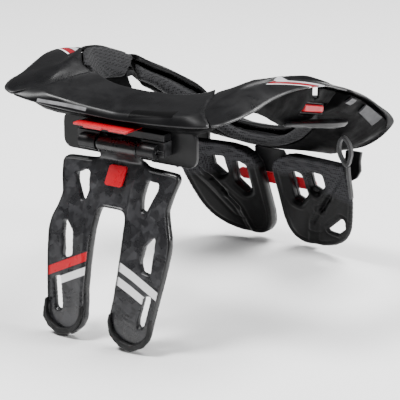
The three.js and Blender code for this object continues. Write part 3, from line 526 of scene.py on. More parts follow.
def shape_chest(obj):
    """Chamfered windows, a rolled border and the diagonal channels of a chest pad."""
    x0, x1, z0, z1 = (value * MM for value in CHEST_WINDOW)

    def by_window(co):
        return x0 < abs(co.x) < x1 and z0 < co.z < z1

    windows = wall_tree(obj, by_window)
    border = wall_tree(obj, lambda co: not by_window(co))
    moves = []
    for v in obj.data.vertices:
        away = {
            "window": from_wall(windows, v.co),
            "border": from_wall(border, v.co),
            "channel": from_channel(abs(v.co.x) / MM, v.co.z / MM),
        }
        depth = CHAMFER_DEPTH * (1 - smooth_step(away["window"], CHAMFER_TOP, CHAMFER_FOOT))
        for along, deep, middle, half in CHEST_RELIEF:
            depth += deep * hump(away[along], middle, half)
        rear = smooth_step(-v.normal.y, -0.1, 0.5)  # 1 where the skin faces backwards
        moves.append(depth * MM * rear)
    for v, move in zip(obj.data.vertices, moves):
        v.co.y += move
    return obj


# Windows of the strut on its rear face, in millimetres across and up.
STRUT_WINDOWS = (
    ((-45, -41), (-31, -38.5), (-28, -54), (-31, -63), (-35, -64), (-43, -49)),
    ((31, -38), (43, -38), (44, -43), (35, -64), (30, -64), (29, -54)),
    ((-51, -84), (-46.6, -83.4), (-39, -91.3), (-36, -112.2), (-46.2, -117.3), (-48, -101)),
    ((49.3, -83.6), (49.3, -116), (40, -114.4), (37, -107), (39, -93.2), (45.6, -84.6)),
    ((-53, -134), (-46, -132), (-40, -158), (-41, -162), (-47, -162), (-53, -138)),
    ((45, -135), (53, -133), (49, -160), (43, -161), (42, -156), (45, -139)),
)


def prism(points, y0, y1):
    """A closed block through the depth with rounded corners, for cutting a window."""
    bm = loft([[Vector((p.x, y, p.z)) for p in points] for y in (y0, y1)])
    long = [e for e in bm.edges if abs(e.verts[0].co.y - e.verts[1].co.y) > 0.5 * abs(y1 - y0)]
    bmesh.ops.bevel(
        bm, geom=long, offset=strut_sizes().window_radius, segments=3, profile=0.5,
        affect="EDGES", clamp_overlap=True, material=-1,
    )
    bmesh.ops.recalc_face_normals(bm, faces=bm.faces)
    return piece("cutter", bm)


def cut(obj, tool):
    """Takes the tool away from the object and removes the tool."""
    modifier(obj, "BOOLEAN", operation="DIFFERENCE", solver="EXACT", object=tool)
    settle(obj)
    bpy.data.objects.remove(tool)


# Heights on the strut in millimetres: its walls count below the first; the relief fades in
# over the second pair and the dark print at the hinge fades out over the third.
BLADE_TOP = -27
RELIEF_FADE = (24, 30)
PRINT_FADE = (20, 24)
# Sides of the strut's middle channel: across and up in millimetres, and how far each leans.
STRUT_CHANNEL = ((-28, -33, 0.074), (18.9, -26, -0.042))
WINDOW_MARGIN = 2  # millimetres round a window where a wall belongs to it


def raise_blade(obj):
    """The raised border of the strut plate and the shallow channel down its middle."""
    s = strut_sizes()
    spans = [tuple(zip(*window)) for window in STRUT_WINDOWS]

    def near(value, span):
        return min(span) - WINDOW_MARGIN < value < max(span) + WINDOW_MARGIN

    def on_border(co):
        x, z = co.x / MM, co.z / MM
        return z < BLADE_TOP and not any(near(x, xs) and near(z, zs) for xs, zs in spans)

    tree = wall_tree(obj, on_border)
    border = obj.data.attributes.new("border", "FLOAT", "POINT")
    foot = s.border_width + s.border_slope
    moves = []
    for v in obj.data.vertices:
        x, low = v.co.x, -v.co.z / MM
        rim = 1 - smooth_step(from_wall(tree, v.co) * MM, s.border_width, foot)
        left, right = ((x0 + lean * (z0 + low)) * MM for x0, z0, lean in STRUT_CHANNEL)
        flank = smooth_step(max(left - x, x - right), -s.flank_slope, s.flank_slope)
        fade = smooth_step(low, *RELIEF_FADE)
        rear = ease((0.2 - v.normal.y) / 0.6)  # 1 where the skin faces backwards
        border.data[v.index].value = max(rim * fade, 1 - smooth_step(low, *PRINT_FADE))
        moves.append((rim * s.border_rise + flank * s.flank_rise) * fade * rear)
    for v, move in zip(obj.data.vertices, moves):
        v.co.y -= move


def draw_in(obj, share_x, share_z, at_x, at_z):
    """Draws a piece in, across and up, towards a place in its own box given as shares."""
    xs = [v.co.x for v in obj.data.vertices]
    zs = [v.co.z for v in obj.data.vertices]
    x0 = min(xs) + (max(xs) - min(xs)) * at_x
    z0 = min(zs) + (max(zs) - min(zs)) * at_z
    for v in obj.data.vertices:
        v.co.x = x0 + (v.co.x - x0) * share_x
        v.co.z = z0 + (v.co.z - z0) * share_z


# Finishes


def add(tree, kind, *inputs, **settings):
    """A shader node. Inputs are sockets or plain values, in the node's own order."""
    node = tree.nodes.new("ShaderNode" + kind)
    named = settings.pop("named", {})
    for key, value in settings.items():
        setattr(node, key, value)
    for key, value in (*enumerate(inputs), *named.items()):
        if isinstance(value, bpy.types.NodeSocket):
            tree.links.new(value, node.inputs[key])
        elif value is not None:
            node.inputs[key].default_value = value
    return node


def maths(tree, operation, *inputs):
    return add(tree, "Math", *inputs, operation=operation).outputs[0]


def ramp(tree, value, low, high, to_low=0.0, to_high=1.0):
    """The value carried from one range to another, clamped."""
    return add(tree, "MapRange", value, low, high, to_low, to_high, clamp=True).outputs[0]


def blend_colour(tree, factor, a, b):
    node = add(tree, "Mix", data_type="RGBA")
    for socket, value in ((node.inputs[0], factor), (node.inputs[6], a), (node.inputs[7], b)):
        if isinstance(value, bpy.types.NodeSocket):
            tree.links.new(value, socket)
        elif hasattr(value, "__len__"):
            socket.default_value = (*value[:3], 1)
        else:
            socket.default_value = value
    return node.outputs[2]


def group_tree(name, inputs, outputs):
    """An empty node group with named sockets: its tree, input sockets and output sockets."""
    tree = bpy.data.node_groups.new(name, "ShaderNodeTree")
    for kind, label, default in inputs:
        socket = tree.interface.new_socket(
            name=label, in_out="INPUT", socket_type="NodeSocket" + kind
        )
        if default is not None:
            socket.default_value = default
    for kind, label in outputs:
        tree.interface.new_socket(name=label, in_out="OUTPUT", socket_type="NodeSocket" + kind)
    return tree, tree.nodes.new("NodeGroupInput").outputs, tree.nodes.new("NodeGroupOutput").inputs


GROUP_MAKERS = {}


def node_group(make):
    GROUP_MAKERS[make.__name__] = make
    return make


def use_group(tree, name, **values):
    """Places a shared node group in a material; it is built the first time it is asked for."""
    if name not in bpy.data.node_groups:
        GROUP_MAKERS[name]()
    node = tree.nodes.new("ShaderNodeGroup")
    node.node_tree = bpy.data.node_groups[name]
    for key, value in values.items():
        socket = node.inputs[key.replace("_", " ").capitalize()]
        if isinstance(value, bpy.types.NodeSocket):
            tree.links.new(value, socket)
        else:
            socket.default_value = value
    return node.outputs


@node_group
def moulded_grain():
    """Fine spark-eroded grain, and the slow change of gloss over a moulding."""
    tree, given, out = group_tree(
        "moulded_grain",
        [("Vector", "Place", None), ("Float", "Grain", 0.0007), ("Float", "Mottle", 0.02)],
        [("Float", "Height"), ("Float", "Gloss"), ("Float", "Haze")],
    )
    fine = add(tree, "TexNoise", given["Place"], named={
        "Scale": maths(tree, "DIVIDE", 1.0, given["Grain"]), "Detail": 3.0})
    slow = add(tree, "TexNoise", given["Place"], named={
        "Scale": maths(tree, "DIVIDE", 1.0, given["Mottle"]), "Detail": 5.0, "Roughness": 0.6,
        "Distortion": 0.6})
    scuff = add(tree, "TexNoise", given["Place"], named={
        "Scale": maths(tree, "DIVIDE", 2.2, given["Mottle"]), "Detail": 8.0, "Roughness": 0.7})
    tree.links.new(fine.outputs[0], out["Height"])
    tree.links.new(ramp(tree, slow.outputs[0], 0.35, 0.65), out["Gloss"])
    tree.links.new(ramp(tree, scuff.outputs[0], 0.5, 0.72), out["Haze"])


@node_group
def chopped_flakes():
    """Angular flakes of differing tone, as in a plate pressed from chopped fibre."""
    tree, given, out = group_tree(
        "chopped_flakes", [("Vector", "Place", None), ("Float", "Size", 0.009)],
        [("Float", "Tone")],
    )
    tones = []
    for share in (1.0, 0.45):
        size = maths(tree, "MULTIPLY", given["Size"], share)
        cells = add(tree, "TexVoronoi", given["Place"], named={
            "Scale": maths(tree, "DIVIDE", 1.0, size), "Randomness": 1.0})
        tones.append(add(tree, "SeparateColor", cells.outputs["Color"]).outputs[0])
    tree.links.new(maths(tree, "MULTIPLY", maths(tree, "ADD", *tones), 0.5), out["Tone"])


@node_group
def edge_wear():
    """Where corners are rubbed light: convex edges, broken up by noise."""
    tree, given, out = group_tree(
        "edge_wear",
        [("Vector", "Place", None), ("Float", "Start", 0.53), ("Float", "Full", 0.6)],
        [("Float", "Mask")],
    )
    point = add(tree, "NewGeometry").outputs["Pointiness"]
    noise = add(tree, "TexNoise", given["Place"], named={"Scale": 90.0, "Detail": 5.0})
    edge = ramp(tree, point, given["Start"], given["Full"])
    wear_and_highlight = ramp(tree, noise.outputs[0], 0.38, 0.62, 0.25, 1.0)
    tree.links.new(maths(tree, "MULTIPLY", edge, wear_and_highlight), out["Mask"])


@node_group
def air_mesh():
    """Knitted spacer mesh: rows of small round holes in a soft raised net."""
    tree, given, out = group_tree(
        "air_mesh",
        [("Vector", "Place", None), ("Float", "Pitch", 0.0019)],
        [("Float", "Height"), ("Float", "Hole")],
    )
    net = add(tree, "TexVoronoi", given["Place"], named={
        "Scale": maths(tree, "DIVIDE", 1.0, given["Pitch"]), "Randomness": 0.22})
    yarn = add(tree, "TexNoise", given["Place"], named={
        "Scale": maths(tree, "DIVIDE", 6.0, given["Pitch"]), "Detail": 2.0})
    hole = ramp(tree, net.outputs["Distance"], 0.5, 0.28)
    high = maths(tree, "SUBTRACT", 1.0, hole)
    fluff = maths(tree, "MULTIPLY", yarn.outputs[0], 0.25)
    tree.links.new(maths(tree, "ADD", high, fluff), out["Height"])
    tree.links.new(hole, out["Hole"])


@node_group
def woven_tape():
    """Flat woven webbing: two sets of yarns under each other."""
    tree, given, out = group_tree(
        "woven_tape", [("Vector", "Place", None), ("Float", "Pitch", 0.0008)],
        [("Float", "Height")],
    )
    scale = maths(tree, "DIVIDE", 0.314, given["Pitch"])
    warp = add(tree, "TexWave", given["Place"], bands_direction="Z", named={"Scale": scale})
    weft = add(tree, "TexWave", given["Place"], bands_direction="DIAGONAL",
               named={"Scale": scale})
    both = maths(tree, "MULTIPLY", warp.outputs[1], weft.outputs[1])
    tree.links.new(both, out["Height"])


@node_group
def printed_band():
    """A straight printed band, placed by the distance along a direction in width, depth and
    height, with the width taken from the centre line outwards. Side 1 keeps the right one of the
    two, -1 the left one and 0 both."""
    tree, given, out = group_tree(
        "printed_band",
        [("Vector", "Place", None), ("Vector", "Across", (0, 0, 1)), ("Float", "Middle", 0.0),
         ("Float", "Half width", 0.002), ("Float", "Inner", 0.0), ("Float", "Outer", 1.0),
         ("Float", "Side", 0.0)],
        [("Float", "Mask")],
    )
    split = add(tree, "SeparateXYZ", given["Place"])
    wide = maths(tree, "ABSOLUTE", split.outputs[0])
    folded = add(tree, "CombineXYZ", wide, split.outputs[1], split.outputs[2])
    along = add(tree, "VectorMath", folded.outputs[0], given["Across"], operation="DOT_PRODUCT")
    off = maths(tree, "ABSOLUTE", maths(tree, "SUBTRACT", along.outputs["Value"], given["Middle"]))
    band = ramp(tree, maths(tree, "SUBTRACT", off, given["Half width"]), 0.00025, -0.00025)
    within = maths(tree, "MULTIPLY", ramp(tree, maths(tree, "SUBTRACT", wide, given["Inner"]),
                                          -0.0003, 0.0003),
                   ramp(tree, maths(tree, "SUBTRACT", given["Outer"], wide), -0.0003, 0.0003))
    side = maths(tree, "GREATER_THAN",
                 maths(tree, "ADD", maths(tree, "MULTIPLY", split.outputs[0], given["Side"]),
                       0.00001), 0.0)
    mask = maths(tree, "MULTIPLY", maths(tree, "MULTIPLY", band, within), side)
    tree.links.new(mask, out["Mask"])


SHADER_SOCKETS = {
    "specular": "Specular IOR Level", "sheen": "Sheen Weight",
    "sheen_roughness": "Sheen Roughness", "metallic": "Metallic",
}


class Finish:
    """A material under construction: its tree, its shader and the place on the surface."""

    def __init__(self, name, base, roughness, **sockets):
        self.mat = bpy.data.materials.new(name)
        self.mat.use_nodes = True
        self.tree = self.mat.node_tree
        self.shader = self.tree.nodes["Principled BSDF"]
        self.base = tuple(base)
        self.shader.inputs["Base Color"].default_value = (*base, 1)
        self.shader.inputs["Roughness"].default_value = roughness
        for key, value in sockets.items():
            self.shader.inputs[SHADER_SOCKETS[key]].default_value = value
        self.place = add(self.tree, "TexCoord").outputs["Object"]
        self.colour = None

    def tint(self, factor, colour):
        """Lays a colour over what is there, by a mask."""
        under = self.colour if self.colour is not None else self.base
        self.colour = blend_colour(self.tree, factor, under, colour)
        self.tree.links.new(self.colour, self.shader.inputs["Base Color"])

    def gloss(self, value, low, high):
        """Roughness between two values by a mask."""
        self.tree.links.new(ramp(self.tree, value, 0.0, 1.0, low, high),
                            self.shader.inputs["Roughness"])

    def bump(self, height, distance, strength=1.0):
        node = add(self.tree, "Bump", named={
            "Height": height, "Distance": distance, "Strength": strength})
        self.tree.links.new(node.outputs[0], self.shader.inputs["Normal"])

    def grained(self, grain, mottle):
        """The grain of a moulding; both are lengths."""
        return use_group(self.tree, "moulded_grain", place=self.place, grain=grain, mottle=mottle)

    def hazed(self, mask, share, colour, bare=0):
        """Lays a colour over by a mask: the bare share where it is 0, the share where it is 1."""
        self.tint(ramp(self.tree, mask, 0, 1, bare, share), colour)

    def worn(self, start, full, share, colour):
        """Rubs the corners lighter: start and full are how pointed a worn corner is."""
        wear = use_group(self.tree, "edge_wear", place=self.place, start=start, full=full)["Mask"]
        self.tint(maths(self.tree, "MULTIPLY", wear, share), colour)

    def band_mask(self, across, middle, half, inner, outer, side=0.0):
        return use_group(
            self.tree, "printed_band", place=self.place, across=across, middle=middle,
            half_width=half, inner=inner, outer=outer, side=side,
        )["Mask"]


# Bands: the direction across them in width, depth and height; then for each one its colour,
# its middle along that direction and half its width, in metres, and on the strut how far out
# it reaches and its side.
SHOULDER_ACROSS = (-0.62, 0.78, 0)
SHOULDER_BANDS = (
    ("white", -0.1132, 0.0009), ("dark_red", -0.1085, 0.0036), ("worn_white", -0.1002, 0.0036),
)
STRUT_ACROSS = (0.439, 0, 0.899)
STRUT_BANDS = (
    ("red", -0.0904, 0.0038, 1.0, -1.0), ("white", -0.1021, 0.0033, 0.047, -1.0),
    ("white", -0.0928, 0.0034, 1.0, 1.0), ("white", -0.1040, 0.0034, 0.046, 1.0),
)
LIP_START, LIP_FULL = -0.128, -0.1292  # depths between which the rear lip begins


def shell_finish():
    """Satin black moulding with the shoulder bands, and the inset and the painted reflection strip
    on the lip.
    """
    f = Finish("moulded_shell", colours().shell, 0.36, specular=0.22)
    grain = f.grained(0.0006, 0.03)
    f.hazed(grain["Haze"], 0.35, (0.012, 0.012, 0.013))
    for colour, middle, half in SHOULDER_BANDS:
        mask = f.band_mask(SHOULDER_ACROSS, middle, half, inner=0.108, outer=1.0)
        f.tint(mask, getattr(colours(), colour))
    depth = add(f.tree, "SeparateXYZ", f.place).outputs[1]
    lip = ramp(f.tree, depth, LIP_START, LIP_FULL)
    panel = f.band_mask((-0.141, 0, 0.99), 0.0191, 0.0024, inner=0.015, outer=0.062, side=1.0)
    panel = maths(f.tree, "MULTIPLY", panel, lip)
    f.tint(panel, (0.0012, 0.0012, 0.0014))
    # Painted reflection: a light strip along the lip's edge, broken into dashes by the mottle,
    # standing in for the lamps shining back off the lip.
    wear_and_highlight = f.band_mask((-0.0577, 0, 0.998), 0.0184, 0.0014, inner=0.03, outer=0.08, side=-1.0)
    wear_and_highlight = maths(f.tree, "MULTIPLY", wear_and_highlight, lip)
    wear_and_highlight = maths(f.tree, "MULTIPLY", wear_and_highlight, ramp(f.tree, grain["Gloss"], 0, 1, 0.35, 1))
    f.tint(wear_and_highlight, (0.32, 0.32, 0.33))
    f.worn(0.52, 0.62, 0.6, (0.16, 0.16, 0.165))
    f.gloss(maths(f.tree, "MAXIMUM", panel, grain["Gloss"]), 0.42, 0.24)
    f.bump(grain["Height"], 0.00005, 0.5)
    return f.mat


def strut_finish():
    """Charcoal strut plate: flaked and glossy, with bands on the rear face of both legs."""
    f = Finish("strut_plate", colours().strut, 0.3, specular=0.5)
    grain = f.grained(0.0008, 0.013)
    flakes = use_group(f.tree, "chopped_flakes", place=f.place, size=0.011)["Tone"]
    f.tint(ramp(f.tree, flakes, 0.45, 0.9, 0, 0.75), (0.042, 0.042, 0.046))
    f.hazed(grain["Haze"], 0.15, (0.05, 0.05, 0.054))
    facing = add(f.tree, "TexCoord").outputs["Normal"]
    rear = ramp(f.tree, add(f.tree, "SeparateXYZ", facing).outputs[1], -0.2, -0.4)
    for colour, middle, half, outer, side in STRUT_BANDS:
        mask = f.band_mask(STRUT_ACROSS, middle, half, inner=0.0, outer=outer, side=side)
        f.tint(maths(f.tree, "MULTIPLY", mask, rear), getattr(colours(), colour))
    border = add(f.tree, "Attribute", attribute_name="border").outputs["Fac"]
    f.tint(border, (0.005, 0.005, 0.0055))
    f.worn(0.52, 0.62, 0.5, (0.11, 0.11, 0.115))
    f.gloss(flakes, 0.2, 0.42)
    f.bump(grain["Height"], 0.00008, 0.6)
    return f.mat


def mesh_finish():
    """Air mesh over foam."""
    f = Finish("air_mesh_cover", colours().mesh, 0.8, specular=0.1,
               sheen=0.06, sheen_roughness=0.5)
    net = use_group(f.tree, "air_mesh", place=f.place, pitch=0.0024)
    f.tint(net["Hole"], (0.002, 0.002, 0.0024))
    f.gloss(net["Hole"], 0.62, 0.95)
    f.bump(net["Height"], 0.0005, 0.9)
    return f.mat


def chest_finish():
    """Chest pads: air mesh above, smooth moulded foam below the diagonal channel."""
    f = Finish("chest_pad_cover", colours().chest_mesh, 0.7, specular=0.12)
    net = use_group(f.tree, "air_mesh", place=f.place, pitch=0.0024)
    split = add(f.tree, "SeparateXYZ", f.place)
    wide = maths(f.tree, "ABSOLUTE", split.outputs[0])
    # Height over a line that falls outwards by a quarter; the foam starts below the channel.
    upper = maths(f.tree, "ADD", split.outputs[2], maths(f.tree, "MULTIPLY", wide, 0.25))
    smooth = ramp(f.tree, upper, -0.086, -0.094)
    f.tint(maths(f.tree, "MULTIPLY", net["Hole"], maths(f.tree, "SUBTRACT", 1.0, smooth)),
           (0.006, 0.006, 0.007))
    f.tint(smooth, (0.0014, 0.0014, 0.0016))
    grain = f.grained(0.0007, 0.02)
    f.gloss(smooth, 0.8, 0.4)
    high = add(f.tree, "Mix", smooth, data_type="FLOAT",
               named={2: net["Height"], 3: maths(f.tree, "MULTIPLY", grain["Height"], 0.3)})
    f.bump(high.outputs[0], 0.0004, 0.8)
    return f.mat


def webbing_finish():
    """Woven straps."""
    f = Finish("webbing", colours().webbing, 0.6, sheen=0.3, sheen_roughness=0.5)
    tape = use_group(f.tree, "woven_tape", place=f.place, pitch=0.0009)
    f.hazed(tape["Height"], 0, (0.008, 0.008, 0.009), bare=0.5)
    f.gloss(tape["Height"], 0.85, 0.6)
    f.bump(tape["Height"], 0.0003, 0.8)
    return f.mat


# Plain mouldings: material and colour; roughness and shader values; grain and mottle; the two
# roughnesses of the mottle; haze as a share and a colour; worn corners as for Finish.worn; and
# the depth and the strength of the grain. None leaves one out.
PLAIN = {
    "fitting": ("moulded_fitting", "shell", 0.38, {"specular": 0.22}, (0.0005, 0.015),
                (0.28, 0.46), (0.3, (0.012, 0.012, 0.013)),
                (0.53, 0.66, 0.5, (0.13, 0.13, 0.135)), (0.00006, 0.5)),
    "foam": ("moulded_foam", "foam", 0.7, {"specular": 0.05}, (0.0011, 0.02),
             (0.5, 0.8), (0.3, (0.003, 0.003, 0.0033)), None, (0.00015, 0.7)),
    "rubber": ("rubber_bumper", "rubber", 0.62, {"specular": 0.4}, (0.0009, 0.01),
               (0.5, 0.72), (0.4, (0.014, 0.014, 0.0145)), None, (0.00012, 0.6)),
    "red": ("red_moulding", "red", 0.34, {"specular": 0.5}, (0.0006, 0.012),
            (0.26, 0.42), (0.4, (0.33, 0.002, 0.003)),
            (0.53, 0.66, 0.5, (0.7, 0.08, 0.08)), (0.00005, 0.5)),
    "steel": ("steel_pin", "steel", 0.32, {"metallic": 1.0}, (0.0004, 0.006),
              (0.22, 0.4), None, None, (0.00002, 0.4)),
    "label": ("label_panel", "label", 0.4, {"specular": 0.25}, (0.0005, 0.01),
              (0.3, 0.5), (0.3, (0.034, 0.034, 0.037)), None, (0.00004, 0.4)),
    "floor": ("studio_floor", "floor", 0.9, {"specular": 0.1}, (0.004, 0.8),
              (0.85, 0.95), None, None, None),
}


def plain_finish(kind):
    name, colour, roughness, sockets, grain, gloss, haze, worn, relief = PLAIN[kind]
    f = Finish(name, getattr(colours(), colour), roughness, **sockets)
    grained = f.grained(*grain)
    if haze:
        f.hazed(grained["Haze"], *haze)
    if worn:
        f.worn(*worn)
    f.gloss(grained["Gloss"], *gloss)
    if relief:
        f.bump(grained["Height"], *relief)
    return f.mat


FINISHES = {
    "shell": shell_finish, "strut": strut_finish, "mesh": mesh_finish, "chest": chest_finish,
    "webbing": webbing_finish,
}
MADE = {}


def material(kind):
    if kind not in MADE:
        MADE[kind] = FINISHES[kind]() if kind in FINISHES else plain_finish(kind)
    return MADE[kind]


def dress(obj, kind):
    obj.data.materials.clear()
    obj.data.materials.append(material(kind))
    return obj


def put(obj, body, slot, kind, *nodes):
    """Gives a finished piece its body, its material and the nodes it stands for; the slot is not
    used.
    """
    dress(obj, kind)
    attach(obj, body)
    if nodes:
        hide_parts(*nodes)
    return obj


# Operators


class BRACE_OT_stage(bpy.types.Operator):
    """Make the floor, the soft lights and the camera"""

    bl_idname = "brace.stage"
    bl_label = "Stage"

    def execute(self, context):
        bm = bmesh.new()
        bmesh.ops.create_grid(bm, x_segments=1, y_segments=1, size=6)
        below = CAD_BOX[0][2] - 0.5 * MM  # just under the legs
        bmesh.ops.translate(bm, verts=bm.verts, vec=(0, 0, below))
        floor = piece("floor", bm)
        dress(floor, "floor")
        world = bpy.data.worlds.new("studio")
        context.scene.world = world
        world.use_nodes = True
        world.node_tree.nodes["Background"].inputs["Color"].default_value = (1, 1, 1, 1)
        world.node_tree.nodes["Background"].inputs["Strength"].default_value = 0.16
        target = Vector((0, 0, -0.06))
        for name, place, size, power in (
            ("key", (-0.9, -0.9, 2.3), 0.7, 100),
            ("side", (2.1, 0.5, 0.9), 0.5, 34),
            ("top", (0.4, 0.9, 2.5), 1.6, 150),
        ):
            light = bpy.data.lights.new(name, "AREA")
            light.size = size
            light.energy = power
            lamp = bpy.data.objects.new(name, light)
            lamp.location = place
            lamp.rotation_euler = (target - Vector(place)).to_track_quat("-Z", "Y").to_euler()
            context.scene.collection.objects.link(lamp)
        camera = bpy.data.cameras.new("photo_camera")
        camera.lens = 171
        camera.sensor_width = 36
        camera.clip_start = 0.05
        view = bpy.data.objects.new("photo_camera", camera)
        aim = Vector((0, 0, -0.095))
        azimuth, elevation, distance = math.radians(33), math.radians(17.35), 1.8095
        back = Vector((
            math.sin(azimuth) * math.cos(elevation),
            -math.cos(azimuth) * math.cos(elevation),
            math.sin(elevation),
        ))
        view.location = aim + back * distance
        view.rotation_euler = (-back).to_track_quat("-Z", "Y").to_euler()
        context.scene.collection.objects.link(view)
        context.scene.camera = view
        return {"FINISHED"}


class BRACE_OT_rear_shells(bpy.types.Operator):
    """Build the raised rear table and the two shoulder shells"""

    bl_idname = "brace.rear_shells"
    bl_label = "Rear shells"

    def execute(self, context):
        s = sizes()
        table = rear_both(sections(REAR_SECTIONS, 0, TABLE_END, 16))
        obj = piece("rear_table_shell", shell_loft([shell_ring(x) for x in table]))
        put(subdivided(obj, 2), "rear_half", "shell_plastic", "shell", "rear_table")
        half = sections(REAR_SECTIONS, TABLE_END - ROW_OVERLAP, len(REAR_SECTIONS) - 1, 40)
        for side in ("right", "left"):
            run = half if side == "right" else [x.flipped() for x in half]
            rings = [
                shell_ring(
                    x,
                    inset=(s.pad + s.gap) * ease((x.row - PAD_START) / (PAD_FULL - PAD_START)),
                    dip=dip_at(x.row),
                )
                for x in run
            ]
            obj = piece("shoulder_shell_" + side, shell_loft(rings))
            put(subdivided(obj, 2), "rear_half", "shell_plastic", "shell",
                "shoulder_arm_" + side)
        return {"FINISHED"}


class BRACE_OT_front_shell(bpy.types.Operator):
    """Build the front half's shell"""

    bl_idname = "brace.front_shell"
    bl_label = "Front shell"

    def execute(self, context):
        run = front_both(sections(FRONT_SECTIONS, 0, len(FRONT_SECTIONS) - 1, 44))
        rings = [shell_ring(x, rim_depth=sizes().rim_depth) for x in run]
        obj = piece("front_ring_shell", shell_loft(rings))
        put(subdivided(obj, 2), "front_half", "shell_plastic", "shell", "front_shell")
        return {"FINISHED"}


SOFT = (
    # piece, node, body, slot, finish, voxel and swell in mm, fill
    ("rear_padding", "rear_liner", "rear_half", "foam", "foam", 1.5, 0, 0.8),
    ("neck_pad_back", "neck_pad_rear", "rear_half", "mesh", "mesh", 1.7, 1.6, 0.7),
    ("neck_cushion_right", "neck_pad_right", "rear_half", "mesh", "mesh", 1.7, 2.0, 0.7),
    ("neck_cushion_left", "neck_pad_left", "rear_half", "mesh", "mesh", 1.7, 2.0, 0.7),
    ("front_padding", "front_liner", "front_half", "foam", "foam", 1.5, 0, 0.8),
    ("throat_pad", "front_neck_pad", "front_half", "mesh", "mesh", 1.7, 2.0, 0.7),
    ("chest_cushion_right", "chest_pad_right", "front_half", "foam", "chest", 1.4, 1.2, 0.8),
    ("chest_cushion_left", "chest_pad_left", "front_half", "foam", "chest", 1.4, 1.2, 0.8),
)


class BRACE_OT_padding(bpy.types.Operator):
    """Build the foam and mesh padding"""

    bl_idname = "brace.padding"
    bl_label = "Padding"

    def execute(self, context):
        for name, node, body, slot, kind, voxel, swell, fill in SOFT:
            obj = moulded(piece(name, node_bmesh(node)), voxel * MM, smooth=5)
            if swell:
                inflated(obj, swell * MM)
            if kind == "chest":
                shape_chest(obj)
            if swell:
                modifier(obj, "SMOOTH", factor=0.5, iterations=4)
                settle(subdivided(obj, 1))
            put(obj, body, slot, kind, node)
        return {"FINISHED"}


class BRACE_OT_strut(bpy.types.Operator):
    """Build the thoracic strut and its bumpers"""

    bl_idname = "brace.strut"
    bl_label = "Strut"

    def execute(self, context):
        blade = piece("strut_blade", node_bmesh("thoracic_strut"))
        moulded(blade, 0.9 * MM, smooth=1, outline=90)
        for points in STRUT_WINDOWS:
            corners = [Vector((x * MM, 0, z * MM)) for x, z in points]
            cut(blade, prism(corners, y0=-0.2, y1=-0.1))
        moulded(blade, 0.8 * MM, smooth=6, outline=8)
        raise_blade(blade)
        put(blade, "strut", "strut_plastic", "strut", "thoracic_strut")
        for side in ("right", "left"):
            node = "strut_bumper_" + side
            obj = piece("leg_bumper_" + side, node_bmesh(node))
            moulded(obj, 0.8 * MM, smooth=3, outline=110)
            put(obj, "strut", "rubber", "rubber", node)
        return {"FINISHED"}


HARD = (
    # node, bevel width in mm, finish
    ("back_plate", 1.4, "fitting"),
    ("hinge_knuckle_right", 0.8, "fitting"),
    ("hinge_knuckle_left", 0.8, "fitting"),
    ("hinge_bridge", 0.8, "fitting"),
    ("hinge_pin", 0.5, "steel"),
    ("rear_clip", 0.6, "red"),
    ("strut_badge", 0.5, "red"),
    ("lock_housing", 0.8, "fitting"),
    ("lock_button", 2.0, "red"),
    ("lock_tongue", 0.6, "fitting"),
    ("rear_pivot_lug", 0.6, "fitting"),
    ("front_pivot_lug", 0.6, "fitting"),
    ("pivot_pin", 0.4, "steel"),
    ("label_plate_right", 0.5, "label"),
    ("label_plate_left", 0.5, "label"),
    ("side_plate", 0.4, "label"),
    ("front_lobe_right", 1.2, "fitting"),
    ("front_lobe_left", 1.2, "fitting"),
    ("chest_bracket", 0.9, "fitting"),
    ("chest_clip", 1.0, "red"),
    ("chest_plate_right", 0.8, "fitting"),
    ("chest_plate_left", 0.8, "fitting"),
    ("strap_loop_right", 0.3, "webbing"),
    ("strap_loop_left", 0.3, "webbing"),
    ("strap_tail_right", 0.3, "webbing"),
    ("strap_tail_left", 0.3, "webbing"),
)
SLOTS = {
    "fitting": "shell_plastic", "steel": "steel", "red": "red_plastic",
    "label": "strut_plastic", "webbing": "webbing",
}
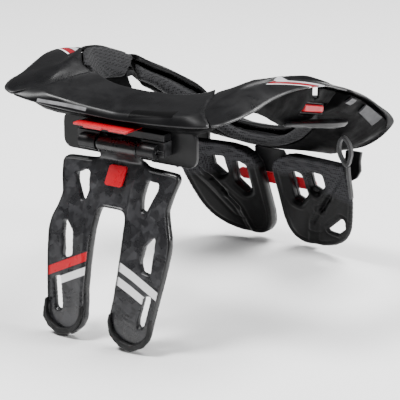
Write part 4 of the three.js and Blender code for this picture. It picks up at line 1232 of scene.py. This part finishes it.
# Pieces whose size differs from the part: shares across and up, and the fixed place.
DRAWN_IN = {"strut_badge": (0.8, 0.8, 0.5, 0.5), "rear_clip": (0.78, 0.55, 0.0, 1.0)}
# Growth of the skin in millimetres, where the photograph shows a thicker piece.
SWOLLEN = {"lock_tongue": 1.5, "strap_loop_right": 0.6, "strap_loop_left": 0.6,
           "strap_tail_right": 0.6, "strap_tail_left": 0.6}


class BRACE_OT_fittings(bpy.types.Operator):
    """Build the hinge, the lock, the clips and the other hard fittings"""

    bl_idname = "brace.fittings"
    bl_label = "Fittings"

    def execute(self, context):
        for node, width, kind in HARD:
            body = frame["nodes"][node]["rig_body"]
            obj = bevelled(node, node + "_finished", width * MM)
            if node in SWOLLEN:
                modifier(obj, "DISPLACE", strength=SWOLLEN[node] * MM, mid_level=0)
                settle(obj)
            if node in DRAWN_IN:
                draw_in(obj, *DRAWN_IN[node])
            put(obj, body, SLOTS[kind], kind, node)
        return {"FINISHED"}


class BRACE_PT_panel(bpy.types.Panel):
    """Lists the pieces of the brace"""

    bl_label = "Neck Brace"
    bl_idname = "BRACE_PT_panel"
    bl_space_type = "VIEW_3D"
    bl_region_type = "UI"
    bl_category = "Neck Brace"

    def draw(self, context):
        for operator in OPERATORS:
            self.layout.operator(operator.bl_idname)


OPERATORS = (
    BRACE_OT_stage,
    BRACE_OT_rear_shells,
    BRACE_OT_front_shell,
    BRACE_OT_padding,
    BRACE_OT_strut,
    BRACE_OT_fittings,
)
GROUPS = {"ring_sizes": RingSizes, "strut_sizes": StrutSizes, "brace_colours": BraceColours}


def register():
    for cls in (*GROUPS.values(), *OPERATORS, BRACE_PT_panel):
        bpy.utils.register_class(cls)
    for name, group in GROUPS.items():
        setattr(bpy.types.Scene, name, PointerProperty(type=group))


def unregister():
    for name in GROUPS:
        delattr(bpy.types.Scene, name)
    for cls in (BRACE_PT_panel, *OPERATORS, *GROUPS.values()):
        bpy.utils.unregister_class(cls)


def main():
    register()
    for operator in OPERATORS:
        group, name = operator.bl_idname.split(".")
        getattr(getattr(bpy.ops, group), name)()


if __name__ == "__main__":
    main()
